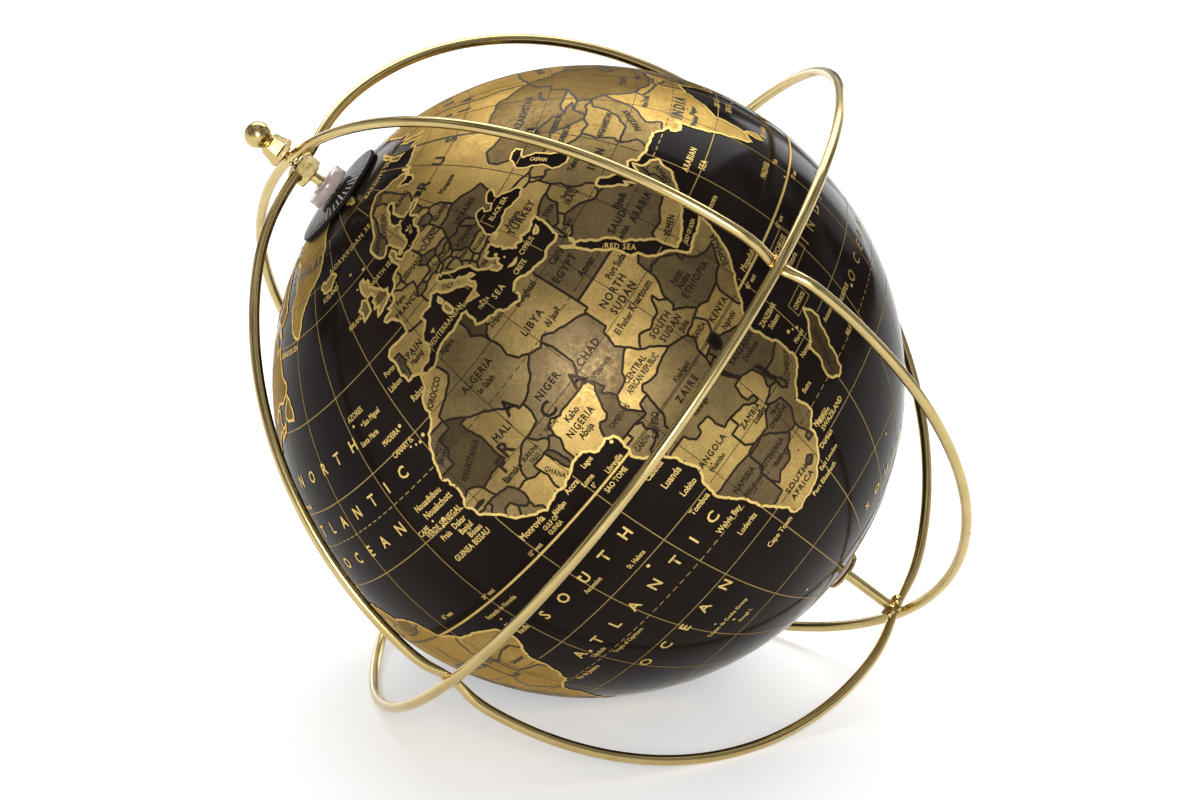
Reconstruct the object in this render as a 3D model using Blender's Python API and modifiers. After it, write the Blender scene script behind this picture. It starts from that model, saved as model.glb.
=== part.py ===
"""Desktop globe turning in a cage of three brass wire rings that is also its foot.

Everything is drawn in the globe's own frame: origin at the globe's centre, +Z along the
axle towards north. One root empty then tips that frame into the resting position.
"""
import math

import bpy
from mathutils import Matrix, Vector

OBJECT_NAME = "desktop_globe"

# Driving dimensions, in metres and radians.
GLOBE_R = 0.065
SHELL_WALL = 0.0015
GAP = 0.0003                     # clearance between touching solids

WIRE_R = 0.0011                  # ring wire, 2.2 mm
OUTER_MERIDIAN_R = 0.0807        # centre-line radii of the three rings
INNER_MERIDIAN_R = 0.0799
EQUATORIAL_R = 0.0794
CAGE_SHIFT = Vector((-0.0008, 0.0004, -0.0037))   # cage centre from the globe's centre
EQUATOR_LIFT = 0.00115           # equatorial ring above the meridian rings' centre
EQUATOR_TILT = (0.0095, -0.0271) # lean of the equatorial ring's axis along X and Y
CROSSING_SKEW = math.radians(7.17)  # meridian rings cross this much off square
DENT_HALF = math.radians(6.0)    # half length of the dent under a crossing wire
RING_STEP = math.radians(4.0)    # a quarter of this in the dents
BEVEL_SIDES = 8                  # sides of the wire at bevel resolution 2

PIN_R = 0.0011                   # axle pins
PIN_INNER_END = 0.0520           # how near to the centre the pins reach
BORE_R = PIN_R + GAP
HOLE_R = 0.0027                  # pole holes in shells and dial
SPIGOT_R = HOLE_R - GAP
SPIGOT_END = 0.0560

COLLAR_FLATS = 0.0055            # hex collar, across flats
COLLAR_LENGTH = 0.0037
FOOT_FLATS = 0.0055              # finial's hex foot, across flats
FINIAL_BALL_R = 0.0028
FINIAL_BALL_Z = 0.0852

DIAL_R = 0.0115                  # hour dial
DIAL_THICK = 0.0007
NORTH_FLANGE_R = 0.00465
NORTH_FLANGE = (0.06645, 0.06875)
NORTH_BOSS_R = 0.0027
NORTH_BOSS_TOP = 0.0692
SOUTH_FLANGE_R = 0.0043
SOUTH_FLANGE = (0.06535, 0.0676)
WASHER_R = 0.00435
WASHER = (0.0679, 0.0685)

BAND_R = 0.0628                  # joining band inside the shell
BAND_WALL = 0.0012
BAND_HALF = 0.0060

POLE_AZIMUTH = math.radians(183.5)  # the north pole leans this way from +X
TURN_STEPS = 48

BRASS = (0.78, 0.60, 0.30, 1.0)


def clear_scene():
    for obj in list(bpy.data.objects):
        bpy.data.objects.remove(obj, do_unlink=True)


def make_collection(name):
    collection = bpy.data.collections.new(name)
    bpy.context.scene.collection.children.link(collection)
    return collection


def material(name, color, roughness, metallic=0.0):
    mat = bpy.data.materials.new(name)
    mat.use_nodes = True
    shader = mat.node_tree.nodes["Principled BSDF"]
    shader.inputs["Base Color"].default_value = color
    shader.inputs["Roughness"].default_value = roughness
    shader.inputs["Metallic"].default_value = metallic
    mat.diffuse_color = color
    return mat


def place(obj, collection, parent, local=None):
    collection.objects.link(obj)
    obj.parent = parent
    if local is not None:
        obj.matrix_local = local


def ring_frame(center, across, up):
    """Frame of a ring: local X and Y span its plane."""
    normal = across.cross(up).normalized()
    up = normal.cross(across)
    frame = Matrix((across, up, normal)).transposed().to_4x4()
    frame.translation = center
    return frame


def contact_angle(frame, up):
    """Angle on a ring of its lowest point for a given up direction."""
    down = frame.to_3x3().transposed() @ -up
    return math.atan2(down.y, down.x)


def rest_direction(rings):
    """Up direction, in the globe frame, at which all three rings touch the table."""
    up = Vector((-1.0, 1.0, 1.0)).normalized()
    for _ in range(40):
        touch = []
        for frame, radius in rings:
            angle = contact_angle(frame, up)
            touch.append(frame @ Vector((radius * math.cos(angle), radius * math.sin(angle), 0.0)))
        normal = (touch[1] - touch[0]).cross(touch[2] - touch[0]).normalized()
        up = normal if normal.z > 0 else -normal
    return up


def plane_crossing(frame, radius, plane, guess):
    """Angle on a ring at which its centre line meets another ring's plane."""
    normal = plane.to_3x3().col[2]
    angle = guess
    for _ in range(10):
        point = frame @ Vector((radius * math.cos(angle), radius * math.sin(angle), 0.0))
        slope = frame.to_3x3() @ Vector((-radius * math.sin(angle), radius * math.cos(angle), 0.0))
        angle -= (point - plane.translation).dot(normal) / slope.dot(normal)
    return angle


def turned_between(angle, at):
    """Signed difference of two angles, between -pi and pi."""
    return (angle - at + math.pi) % (2 * math.pi) - math.pi


def wire_ring(name, radius, frame, up, dents, mat, opening=None):
    """Bent wire ring; dents are (angle, depth); opening is the (start, end) angles left open."""
    start = contact_angle(frame, up) + RING_STEP / 2
    fine = 4
    count = round(2 * math.pi / RING_STEP) * fine
    angles = []
    for i in range(count):
        angle = start + i * RING_STEP / fine
        dented = any(abs(turned_between(angle, at)) < DENT_HALF for at, _ in dents)
        if i % fine == 0 or dented:
            angles.append(angle)
    if opening is not None:
        first, last = opening[1], opening[0] + 2 * math.pi
        margin = RING_STEP / 12
        angles = sorted(first + (a - first) % (2 * math.pi) for a in angles)
        angles = [a for a in angles if first + margin < a < last - margin]
        angles = [first] + angles + [last]
    curve = bpy.data.curves.new(name, "CURVE")
    curve.dimensions = "3D"
    curve.twist_mode = "Z_UP"
    curve.bevel_depth = WIRE_R
    curve.bevel_resolution = 2
    curve.use_fill_caps = True
    spline = curve.splines.new("POLY")
    spline.points.add(len(angles) - 1)
    spline.use_cyclic_u = opening is None
    down = frame.to_3x3().transposed() @ -up
    lean = math.atan2(down.z, math.hypot(down.x, down.y))
    for point, angle in zip(spline.points, angles):
        pull = 0.0
        for at, depth in dents:
            away = abs(turned_between(angle, at))
            if away < DENT_HALF:
                pull += depth * (1 + math.cos(math.pi * away / DENT_HALF)) / 2
        r = radius - pull
        point.co = (r * math.cos(angle), r * math.sin(angle), 0.0, 1.0)
        point.tilt = math.pi / BEVEL_SIDES - lean
    curve.materials.append(mat)
    obj = bpy.data.objects.new(name, curve)
    place(obj, parts, cage, frame)
    return obj


def turned(name, profile, parent, mat, collection, steps=TURN_STEPS, turn=0.0):
    """Turned solid: profile of (radius, height), closed, down the outer side."""
    mesh = bpy.data.meshes.new(name)
    points = [(r, 0.0, z) for r, z in profile]
    on_axis = profile[0][0] == 0.0 and profile[-1][0] == 0.0
    edges = [(i, i + 1) for i in range(len(points) - 1)]
    if not on_axis:
        edges.append((len(points) - 1, 0))
    mesh.from_pydata(points, edges, [])
    obj = bpy.data.objects.new(name, mesh)
    place(obj, collection, parent, Matrix.Rotation(turn, 4, "Z"))
    screw = obj.modifiers.new("Turn", "SCREW")
    screw.axis = "Z"
    screw.steps = steps
    screw.render_steps = steps
    screw.use_merge_vertices = True
    screw.merge_threshold = 0.00001
    screw.use_smooth_shade = steps > 6
    mesh.materials.append(mat)
    return obj


def arc(radius, start, end, count):
    """Points on a circle about the origin, by angle from the axis."""
    step = (end - start) / count
    return [(radius * math.sin(start + i * step), radius * math.cos(start + i * step))
            for i in range(count + 1)]


def cut_with(obj, tool, operation):
    tool.hide_render = True
    tool.display_type = "WIRE"
    boolean = obj.modifiers.new(operation.title(), "BOOLEAN")
    boolean.operation = operation
    boolean.solver = "EXACT"
    boolean.object = tool


def shell_half(name, sign, mat):
    """Half of the hollow globe, open at the equator and at its pole hole."""
    outer = GLOBE_R
    inner = GLOBE_R - SHELL_WALL
    rows = 12
    edge = GAP / 2
    out = arc(outer, math.asin(HOLE_R / outer), math.acos(edge / outer), rows)
    back = arc(inner, math.asin(HOLE_R / inner), math.acos(edge / inner), rows)
    profile = out + back[::-1]
    if sign < 0:
        profile = [(r, -z) for r, z in profile][::-1]
    return turned(name, profile, globe, mat, parts)


def hex_radius(flats):
    return flats / math.sqrt(3.0)


clear_scene()
parts = make_collection(OBJECT_NAME)
cutters = make_collection("cutters")

brass = material("polished_brass", BRASS, 0.18, 1.0)
black = material("globe_black", (0.016, 0.013, 0.012, 1.0), 0.12)
clear = material("clear_plastic", (0.80, 0.74, 0.74, 1.0), 0.15)
smoked = material("smoked_plastic", (0.02, 0.018, 0.018, 1.0), 0.25)
board = material("grey_board", (0.35, 0.33, 0.30, 1.0), 0.8)

root = bpy.data.objects.new("root", None)
cage = bpy.data.objects.new("cage_frame", None)
globe = bpy.data.objects.new("globe_axis", None)
for empty in (root, cage, globe):
    parts.objects.link(empty)
cage.parent = root
globe.parent = root

# Ring planes.
axis_x, axis_z = Vector((1.0, 0.0, 0.0)), Vector((0.0, 0.0, 1.0))
axis_y = Vector((0.0, 1.0, 0.0))
outer_frame = ring_frame(CAGE_SHIFT, axis_y, axis_z)
skewed = Vector((math.cos(CROSSING_SKEW), math.sin(CROSSING_SKEW), 0.0))
inner_frame = ring_frame(CAGE_SHIFT, skewed, axis_z)
lean_axis = Vector((EQUATOR_TILT[0], EQUATOR_TILT[1], 1.0)).normalized()
equator_across = (axis_x - lean_axis * axis_x.dot(lean_axis)).normalized()
equator_frame = ring_frame(CAGE_SHIFT + axis_z * EQUATOR_LIFT, equator_across,
                           lean_axis.cross(equator_across))

up = rest_direction([(outer_frame, OUTER_MERIDIAN_R), (inner_frame, INNER_MERIDIAN_R),
                     (equator_frame, EQUATORIAL_R)])


def crossing_dents(frame, radius):
    """Dents that carry a meridian ring under the equatorial ring on both sides."""
    dents = []
    for guess in (0.0, math.pi):
        angle = plane_crossing(frame, radius, equator_frame, guess)
        point = frame @ Vector((radius * math.cos(angle), radius * math.sin(angle), 0.0))
        reach = (point - equator_frame.translation).length
        dents.append((angle, reach - (EQUATORIAL_R - 2 * WIRE_R - GAP)))
    return dents


# The inner meridian ring passes under the outer one at the south, and its ends meet the
# collar at the north, where it is drawn in by the same depth.
pole_dent = INNER_MERIDIAN_R - (OUTER_MERIDIAN_R - 2 * WIRE_R - GAP)
collar_reach = COLLAR_FLATS / 2 + GAP + 0.0001
shift_along = CAGE_SHIFT.dot(skewed)
ends = (math.pi / 2 - (collar_reach - shift_along) / INNER_MERIDIAN_R,
        math.pi / 2 + (collar_reach + shift_along) / INNER_MERIDIAN_R)
wire_ring("equatorial_ring", EQUATORIAL_R, equator_frame, up, [], brass)
wire_ring("outer_meridian_ring", OUTER_MERIDIAN_R, outer_frame, up,
          crossing_dents(outer_frame, OUTER_MERIDIAN_R), brass)
wire_ring("inner_meridian_ring", INNER_MERIDIAN_R, inner_frame, up,
          crossing_dents(inner_frame, INNER_MERIDIAN_R)
          + [(math.pi / 2, pole_dent), (-math.pi / 2, pole_dent)],
          brass, opening=ends)

# Hex collar under the north crossing, bored for the north pin.
north_z = CAGE_SHIFT.z + OUTER_MERIDIAN_R
south_z = CAGE_SHIFT.z - OUTER_MERIDIAN_R
collar_top = north_z - WIRE_R - GAP
collar_low = collar_top - COLLAR_LENGTH
corner = hex_radius(COLLAR_FLATS)
chamfer = 0.0003
flat_turn = CROSSING_SKEW + math.radians(30.0)
collar = turned("hex_collar", [(0.0, collar_top), (corner - chamfer, collar_top),
                               (corner, collar_top - chamfer), (corner, collar_low + chamfer),
                               (corner - chamfer, collar_low), (0.0, collar_low)],
                cage, brass, parts, steps=6, turn=flat_turn)
pin_top = collar_top - 0.0008
bore = turned("collar_bore", [(0.0, pin_top + GAP), (BORE_R, pin_top + GAP),
                              (BORE_R, collar_low - 0.001), (0.0, collar_low - 0.001)],
              cage, brass, cutters, steps=24)
cut_with(collar, bore, "DIFFERENCE")

# Finial on the outside of the crossing: hex foot, tapered hex body, neck and ball.
foot_z = north_z + WIRE_R + GAP
foot = hex_radius(FOOT_FLATS)
neck_z = foot_z + 0.0037
finial = turned("finial", [(0.0, neck_z), (0.0017, neck_z), (foot, foot_z + 0.0014),
                           (foot, foot_z + 0.0004), (foot - 0.0005, foot_z), (0.0, foot_z)],
                cage, brass, parts, steps=6, turn=flat_turn)
neck_r = 0.0012
ball = [(r, z + FINIAL_BALL_Z) for r, z in
        arc(FINIAL_BALL_R, 0.0, math.pi - math.asin(neck_r / FINIAL_BALL_R), 12)]
ball[0] = (0.0, FINIAL_BALL_Z + FINIAL_BALL_R)
ball_tool = turned("finial_ball", ball + [(neck_r, neck_z - 0.0005), (0.0, neck_z - 0.0005)],
                   cage, brass, cutters, steps=24)
cut_with(finial, ball_tool, "UNION")

# Two pins on one line, one from each pole of the cage.
turned("north_pin", [(0.0, pin_top), (PIN_R, pin_top), (PIN_R, PIN_INNER_END),
                     (0.0, PIN_INNER_END)], cage, brass, parts, steps=16)
south_end = south_z + 3 * WIRE_R + 2 * GAP + 0.0001
turned("south_pin", [(0.0, -PIN_INNER_END), (PIN_R, -PIN_INNER_END), (PIN_R, south_end),
                     (0.0, south_end)], cage, brass, parts, steps=16)
turned("south_washer", [(BORE_R, -WASHER[0]), (WASHER_R, -WASHER[0]),
                        (WASHER_R, -WASHER[1]), (BORE_R, -WASHER[1])],
       cage, brass, parts, steps=32)

# The globe: two shells, the band that joins them and a bush in each pole.
shell_half("north_shell", 1, black)
shell_half("south_shell", -1, black)
turned("joining_band", [(BAND_R - BAND_WALL, BAND_HALF), (BAND_R, BAND_HALF),
                        (BAND_R, -BAND_HALF), (BAND_R - BAND_WALL, -BAND_HALF)],
       globe, board, parts)
turned("north_bush", [(BORE_R, NORTH_BOSS_TOP), (NORTH_BOSS_R, NORTH_BOSS_TOP),
                      (NORTH_BOSS_R, NORTH_FLANGE[1]), (NORTH_FLANGE_R, NORTH_FLANGE[1]),
                      (NORTH_FLANGE_R, NORTH_FLANGE[0]), (SPIGOT_R, NORTH_FLANGE[0]),
                      (SPIGOT_R, SPIGOT_END), (BORE_R, SPIGOT_END)],
       globe, clear, parts, steps=32)
turned("south_bush", [(BORE_R, -SPIGOT_END), (SPIGOT_R, -SPIGOT_END),
                      (SPIGOT_R, -SOUTH_FLANGE[0]), (SOUTH_FLANGE_R, -SOUTH_FLANGE[0]),
                      (SOUTH_FLANGE_R, -SOUTH_FLANGE[1]), (BORE_R, -SOUTH_FLANGE[1])],
       globe, clear, parts, steps=32)

# Hour dial: a thin cap that turns by hand on the north bush.
dial_low = GLOBE_R + GAP
dial_high = dial_low + DIAL_THICK
over = arc(dial_high, math.asin(HOLE_R / dial_high), math.asin(DIAL_R / dial_high), 4)
under = arc(dial_low, math.asin(HOLE_R / dial_low), math.asin(DIAL_R / dial_low), 4)
turned("hour_dial", over + under[::-1], globe, smoked, parts)

# Tip the globe frame onto its three contact points, pole leaning to POLE_AZIMUTH.
level = (axis_z - up * axis_z.dot(up)).normalized()
side = up.cross(level)
world_x = level * math.cos(POLE_AZIMUTH) - side * math.sin(POLE_AZIMUTH)
world_y = level * math.sin(POLE_AZIMUTH) + side * math.cos(POLE_AZIMUTH)
root.matrix_world = Matrix((world_x, world_y, up)).to_4x4()

# Bring the middle of the model's footprint to the origin, on the table.
bpy.context.view_layer.update()
depsgraph = bpy.context.evaluated_depsgraph_get()
corners = []
for obj in parts.objects:
    if obj.type != "EMPTY":
        shape = obj.evaluated_get(depsgraph)
        mesh = shape.to_mesh()
        corners += [obj.matrix_world @ v.co for v in mesh.vertices]
        shape.to_mesh_clear()
low = [min(c[i] for c in corners) for i in range(3)]
high = [max(c[i] for c in corners) for i in range(3)]
root.location = (-(low[0] + high[0]) / 2, -(low[1] + high[1]) / 2, -low[2])
bpy.context.view_layer.update()
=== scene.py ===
"""Desktop globe in a brass wire cage: its looks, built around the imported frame. Metres, +Z up.

Most pieces are drawn in the globe's own frame (origin at the globe's centre, +Z along the axle
towards north) and then tipped into the resting position by REST.
"""
import math
import random

import bpy
import numpy as np
from mathutils import Matrix, Vector, noise
from mathutils.geometry import delaunay_2d_cdt


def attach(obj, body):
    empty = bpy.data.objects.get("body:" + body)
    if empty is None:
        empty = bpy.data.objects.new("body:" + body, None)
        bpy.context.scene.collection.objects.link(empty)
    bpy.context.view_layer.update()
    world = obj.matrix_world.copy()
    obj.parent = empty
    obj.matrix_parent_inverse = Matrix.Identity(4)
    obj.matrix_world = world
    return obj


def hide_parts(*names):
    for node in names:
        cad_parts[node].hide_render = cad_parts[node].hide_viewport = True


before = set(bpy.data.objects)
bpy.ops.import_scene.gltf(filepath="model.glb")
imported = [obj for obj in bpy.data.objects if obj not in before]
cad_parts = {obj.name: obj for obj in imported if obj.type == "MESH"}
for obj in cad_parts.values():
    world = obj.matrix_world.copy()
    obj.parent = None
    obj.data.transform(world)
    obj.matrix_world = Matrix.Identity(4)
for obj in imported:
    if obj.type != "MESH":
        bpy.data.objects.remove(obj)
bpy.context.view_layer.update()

# Dimensions of the part, in metres and radians, the same as the solids have.
GLOBE_R = 0.065
GAP = 0.0003
WIRE_R = 0.0011
OUTER_MERIDIAN_R = 0.0807
INNER_MERIDIAN_R = 0.0799
EQUATORIAL_R = 0.0794
CAGE_SHIFT = Vector((-0.0008, 0.0004, -0.0037))
EQUATOR_LIFT = 0.00115
EQUATOR_TILT = (0.0095, -0.0271)
CROSSING_SKEW = math.radians(7.17)
NORTH_Z = CAGE_SHIFT.z + OUTER_MERIDIAN_R
SOUTH_Z = CAGE_SHIFT.z - OUTER_MERIDIAN_R
HEX_FLATS = 0.0055
HEX_TURN = CROSSING_SKEW + math.radians(30.0)
BORE_R = 0.0014
DIAL_R = 0.0115
DIAL_LOW = GLOBE_R + GAP
DIAL_HIGH = DIAL_LOW + 0.0007
POLE_AZIMUTH = math.radians(183.5)  # the north pole leans this way from +X
GLOBE_PLACE = Vector((-0.00347, -0.000385, 0.066645))  # the globe's centre, with the cage on the floor
GREENWICH_TURN = 46.5            # degrees from the globe frame's +X to longitude 0
DEG = math.radians(1.0)


# --- helpers ---------------------------------------------------------------------------------------------

def add_piece(name, verts, faces, mat, body, slot_name, smooth=True, replaced=(), local=True):
    """A mesh piece from points in the globe's frame, or in the scene's frame if not local."""
    mesh = bpy.data.meshes.new(name)
    if local:
        verts = [REST @ Vector(v) for v in verts]
    mesh.from_pydata([tuple(v) for v in verts], [], faces)
    mesh.validate()
    mesh.materials.append(mat)
    mesh.shade_smooth() if smooth else mesh.shade_flat()
    obj = bpy.data.objects.new(name, mesh)
    bpy.context.scene.collection.objects.link(obj)
    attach(obj, body)
    if replaced:
        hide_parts(*replaced)
    return obj


def smooth_by_angle(obj, degrees):
    """Sharp edges where faces meet at more than this angle."""
    mesh = obj.data
    sides = {}
    for poly in mesh.polygons:
        for key in poly.edge_keys:
            sides.setdefault(key, []).append(poly.normal.copy())
    limit = math.cos(math.radians(degrees))
    for edge in mesh.edges:
        normals = sides.get(tuple(sorted(edge.vertices)), [])
        edge.use_edge_sharp = len(normals) == 2 and normals[0].dot(normals[1]) < limit
    return obj


def revolve(profile, steps, turn=0.0, closed=False):
    """Points and faces of a turned shape about +Z; profile of (radius, height)."""
    verts, faces = [], []
    n = len(profile)
    for i in range(steps):
        a = turn + 2 * math.pi * i / steps
        verts += [(r * math.cos(a), r * math.sin(a), z) for r, z in profile]
    rows = n if closed else n - 1
    for i in range(steps):
        j = (i + 1) % steps
        for k in range(rows):
            m = (k + 1) % n
            a, b, c, d = i * n + k, i * n + m, j * n + m, j * n + k
            if profile[k][0] == 0.0:
                faces.append((a, b, c))
            elif profile[m][0] == 0.0:
                faces.append((a, b, d))
            else:
                faces.append((a, b, c, d))
    return verts, faces


def arc(radius, start, end, count):
    """(radius, height) points of an arc about the origin; angles are measured from +Z."""
    step = (end - start) / count
    return [(radius * math.sin(start + i * step), radius * math.cos(start + i * step))
            for i in range(count + 1)]


def merged(*shapes):
    """Several (points, faces) shapes as one."""
    verts, faces = [], []
    for v, f in shapes:
        base = len(verts)
        verts += list(v)
        faces += [tuple(base + i for i in face) for face in f]
    return verts, faces


# --- materials -------------------------------------------------------------------------------------------

class Shade:
    """Short way of wiring a Principled material."""

    def __init__(self, name, color, rough, metallic=0.0, **inputs):
        self.mat = bpy.data.materials.new(name)
        self.mat.use_nodes = True
        self.tree = self.mat.node_tree
        self.shader = self.tree.nodes["Principled BSDF"]
        self.set("Base Color", (*color, 1.0))
        self.set("Roughness", rough)
        self.set("Metallic", metallic)
        for key, value in inputs.items():
            self.set(key.replace("_", " "), value)

    def set(self, key, value):
        self.shader.inputs[key].default_value = value

    def node(self, kind, **props):
        node = self.tree.nodes.new(kind)
        for key, value in props.items():
            if key.startswith("in_"):
                node.inputs[key[3:].replace("_", " ")].default_value = value
            else:
                setattr(node, key, value)
        return node

    def link(self, a, b):
        self.tree.links.new(a, b)

    def coords(self, attribute=None):
        if attribute:
            return self.node("ShaderNodeAttribute", attribute_name=attribute).outputs["Vector"]
        return self.node("ShaderNodeTexCoord").outputs["Object"]

    def stretched(self, coords, scale):
        m = self.node("ShaderNodeMapping")
        m.inputs["Scale"].default_value = scale
        self.link(coords, m.inputs["Vector"])
        return m.outputs["Vector"]

    def noise(self, coords, scale, detail=4.0, rough=0.55):
        n = self.node("ShaderNodeTexNoise", in_Scale=scale, in_Detail=detail, in_Roughness=rough)
        self.link(coords, n.inputs["Vector"])
        return n.outputs["Fac"]

    def ramp(self, fac, stops):
        r = self.node("ShaderNodeValToRGB")
        self.link(fac, r.inputs["Fac"])
        elements = r.color_ramp.elements
        while len(elements) < len(stops):
            elements.new(0.5)
        for element, (at, color) in zip(elements, stops):
            element.position = at
            element.color = (*color, 1.0) if isinstance(color, tuple) else (color, color, color, 1.0)
        return r.outputs["Color"]

    def span(self, fac, low, high, out_low, out_high):
        m = self.node("ShaderNodeMapRange")
        for key, value in (("From Min", low), ("From Max", high), ("To Min", out_low), ("To Max", out_high)):
            m.inputs[key].default_value = value
        self.link(fac, m.inputs["Value"])
        return m.outputs["Result"]

    def mix(self, fac, a, b, kind="MIX"):
        m = self.node("ShaderNodeMix", data_type="RGBA", blend_type=kind)
        for index, value in ((0, fac), (6, a), (7, b)):
            if isinstance(value, (int, float)):
                m.inputs[index].default_value = value
            elif isinstance(value, tuple):
                m.inputs[index].default_value = (*value, 1.0)
            else:
                self.link(value, m.inputs[index])
        return m.outputs[2]

    def bump(self, height, distance, strength=1.0):
        b = self.node("ShaderNodeBump", in_Strength=strength, in_Distance=distance)
        self.link(height, b.inputs["Height"])
        self.link(b.outputs["Normal"], self.shader.inputs["Normal"])


def brass_material(name, attribute=None, amber=0.0):
    """Polished brass: drawing lines along the wire, tiny dark specks, uneven lacquer."""
    s = Shade(name, (0.56, 0.39, 0.14), 0.2, 1.0)
    coords = s.coords(attribute)
    lines = s.noise(s.stretched(coords, (40.0, 2600.0, 2600.0)) if attribute
                    else s.stretched(coords, (900.0, 900.0, 900.0)), 1.0, 3.0)
    cloud = s.noise(coords, 90.0, 3.0)
    specks = s.node("ShaderNodeTexVoronoi", in_Scale=420.0)
    s.link(coords, specks.inputs["Vector"])
    tint = s.ramp(cloud, [(0.30, (0.47 - 0.04 * amber, 0.350 - 0.10 * amber, 0.140 - 0.07 * amber)),
                          (0.52, (0.55, 0.425 - 0.10 * amber, 0.185 - 0.09 * amber)),
                          (0.75, (0.62, 0.490 - 0.09 * amber, 0.225 - 0.10 * amber))])
    tint = s.mix(s.span(lines, 0.35, 0.65, 0.0, 0.22), tint, (0.40, 0.27, 0.09))
    spot = s.ramp(specks.outputs["Distance"], [(0.0, 1.0), (0.055, 1.0), (0.085, 0.0)])
    keep = s.ramp(s.noise(coords, 260.0, 2.0), [(0.56, 0.0), (0.62, 1.0)])
    spot = s.mix(1.0, spot, keep, "MULTIPLY")
    s.link(s.mix(spot, tint, (0.10, 0.06, 0.02)), s.shader.inputs["Base Color"])
    s.link(s.span(lines, 0.3, 0.7, 0.13, 0.24), s.shader.inputs["Roughness"])
    if attribute:
        s.bump(lines, 0.000012, 0.5)
    else:                                # hand-polished: the faces are not quite flat
        s.bump(s.mix(0.03, s.noise(coords, 230.0, 2.0), lines), 0.0002, 1.0)
    return s.mat


def black_material():
    """Glossy black ball with a faint brown cast."""
    s = Shade("globe_black_gloss", (0.010, 0.0065, 0.005), 0.10, 0.0, Specular_IOR_Level=0.03)
    coords = s.coords()
    cloud = s.noise(coords, 40.0, 4.0)
    s.link(s.ramp(cloud, [(0.3, (0.0075, 0.0048, 0.0040)), (0.7, (0.0135, 0.0090, 0.0070))]),
           s.shader.inputs["Base Color"])
    s.link(s.span(s.noise(coords, 160.0, 3.0), 0.3, 0.7, 0.08, 0.14), s.shader.inputs["Roughness"])
    s.bump(s.noise(coords, 380.0, 2.0), 0.000006, 0.3)
    return s.mat


def land_material():
    """Printed antique gold: the country's tone with fine grain and a worn, mottled cast."""
    s = Shade("map_land_print", (0.4, 0.3, 0.13), 0.42, 0.84, Specular_IOR_Level=0.12,
              Specular_Tint=(0.86, 0.64, 0.36, 1.0))
    tone = s.node("ShaderNodeVertexColor", layer_name="tone").outputs["Color"]
    coords = s.coords()
    cloud = s.ramp(s.noise(coords, 75.0, 6.0, 0.65),
                   [(0.30, (0.62, 0.58, 0.54)), (0.70, (1.22, 1.18, 1.10))])
    grain = s.ramp(s.noise(coords, 2600.0, 3.0, 0.75),
                   [(0.30, (0.70, 0.69, 0.67)), (0.72, (1.22, 1.22, 1.20))])
    color = s.mix(1.0, s.mix(1.0, tone, cloud, "MULTIPLY"), grain, "MULTIPLY")
    s.link(color, s.shader.inputs["Base Color"])
    s.link(s.span(s.noise(coords, 900.0, 3.0), 0.3, 0.7, 0.34, 0.52), s.shader.inputs["Roughness"])
    s.bump(s.noise(coords, 3200.0, 2.0), 0.00001, 0.35)
    return s.mat


def print_material(name, low, high, rough, metallic):
    """A printed line or letter, speckled between two colours."""
    s = Shade(name, high, rough, metallic, Specular_IOR_Level=0.15, Specular_Tint=(0.9, 0.7, 0.42, 1.0))
    coords = s.coords()
    grain = s.noise(coords, 2200.0, 3.0, 0.7)
    cloud = s.noise(coords, 120.0, 3.0)
    s.link(s.mix(0.5, s.ramp(grain, [(0.3, low), (0.7, high)]), s.ramp(cloud, [(0.3, low), (0.7, high)])),
           s.shader.inputs["Base Color"])
    s.link(s.span(cloud, 0.3, 0.7, rough - 0.06, rough + 0.06), s.shader.inputs["Roughness"])
    return s.mat


def clear_material(name, tint):
    """Cloudy clear plastic."""
    s = Shade(name, tint, 0.08, 0.0, Transmission_Weight=0.35, IOR=1.46, Coat_Weight=0.3)
    coords = s.coords()
    cloud = s.noise(coords, 500.0, 3.0)
    s.link(s.ramp(cloud, [(0.3, tuple(0.86 * c for c in tint)), (0.7, tint)]), s.shader.inputs["Base Color"])
    s.link(s.span(cloud, 0.3, 0.7, 0.16, 0.28), s.shader.inputs["Roughness"])
    s.bump(s.noise(coords, 300.0, 2.0), 0.00001, 0.3)
    return s.mat


def dial_material():
    """Smoked glossy plastic."""
    s = Shade("dial_black_gloss", (0.012, 0.011, 0.011), 0.3, 0.0, Specular_IOR_Level=0.01)
    coords = s.coords()
    cloud = s.noise(coords, 220.0, 4.0)
    s.link(s.ramp(cloud, [(0.3, (0.008, 0.0075, 0.0075)), (0.7, (0.018, 0.016, 0.016))]),
           s.shader.inputs["Base Color"])
    s.link(s.span(s.noise(coords, 700.0, 3.0), 0.3, 0.7, 0.14, 0.22), s.shader.inputs["Roughness"])
    return s.mat


# The floor's own glow keeps it white out to the horizon, past the lights' reach.
NEAR_GLOW, FAR_GLOW = 0.38, 0.62
GLOW_START, GLOW_END = 0.3, 1.4


def stage_material():
    """Plain pale floor."""
    s = Shade("studio_floor", (0.90, 0.90, 0.90), 0.85, Emission_Color=(1.0, 1.0, 1.0, 1.0),
              Emission_Strength=NEAR_GLOW)
    fine = s.noise(s.coords(), 30.0, 4.0)
    reach = s.node("ShaderNodeVectorMath", operation="LENGTH")
    s.link(s.coords(), reach.inputs[0])
    s.link(s.span(reach.outputs["Value"], GLOW_START, GLOW_END, NEAR_GLOW, FAR_GLOW),
           s.shader.inputs["Emission Strength"])
    s.link(s.ramp(fine, [(0.3, 0.895), (0.7, 0.905)]), s.shader.inputs["Base Color"])
    return s.mat


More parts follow.
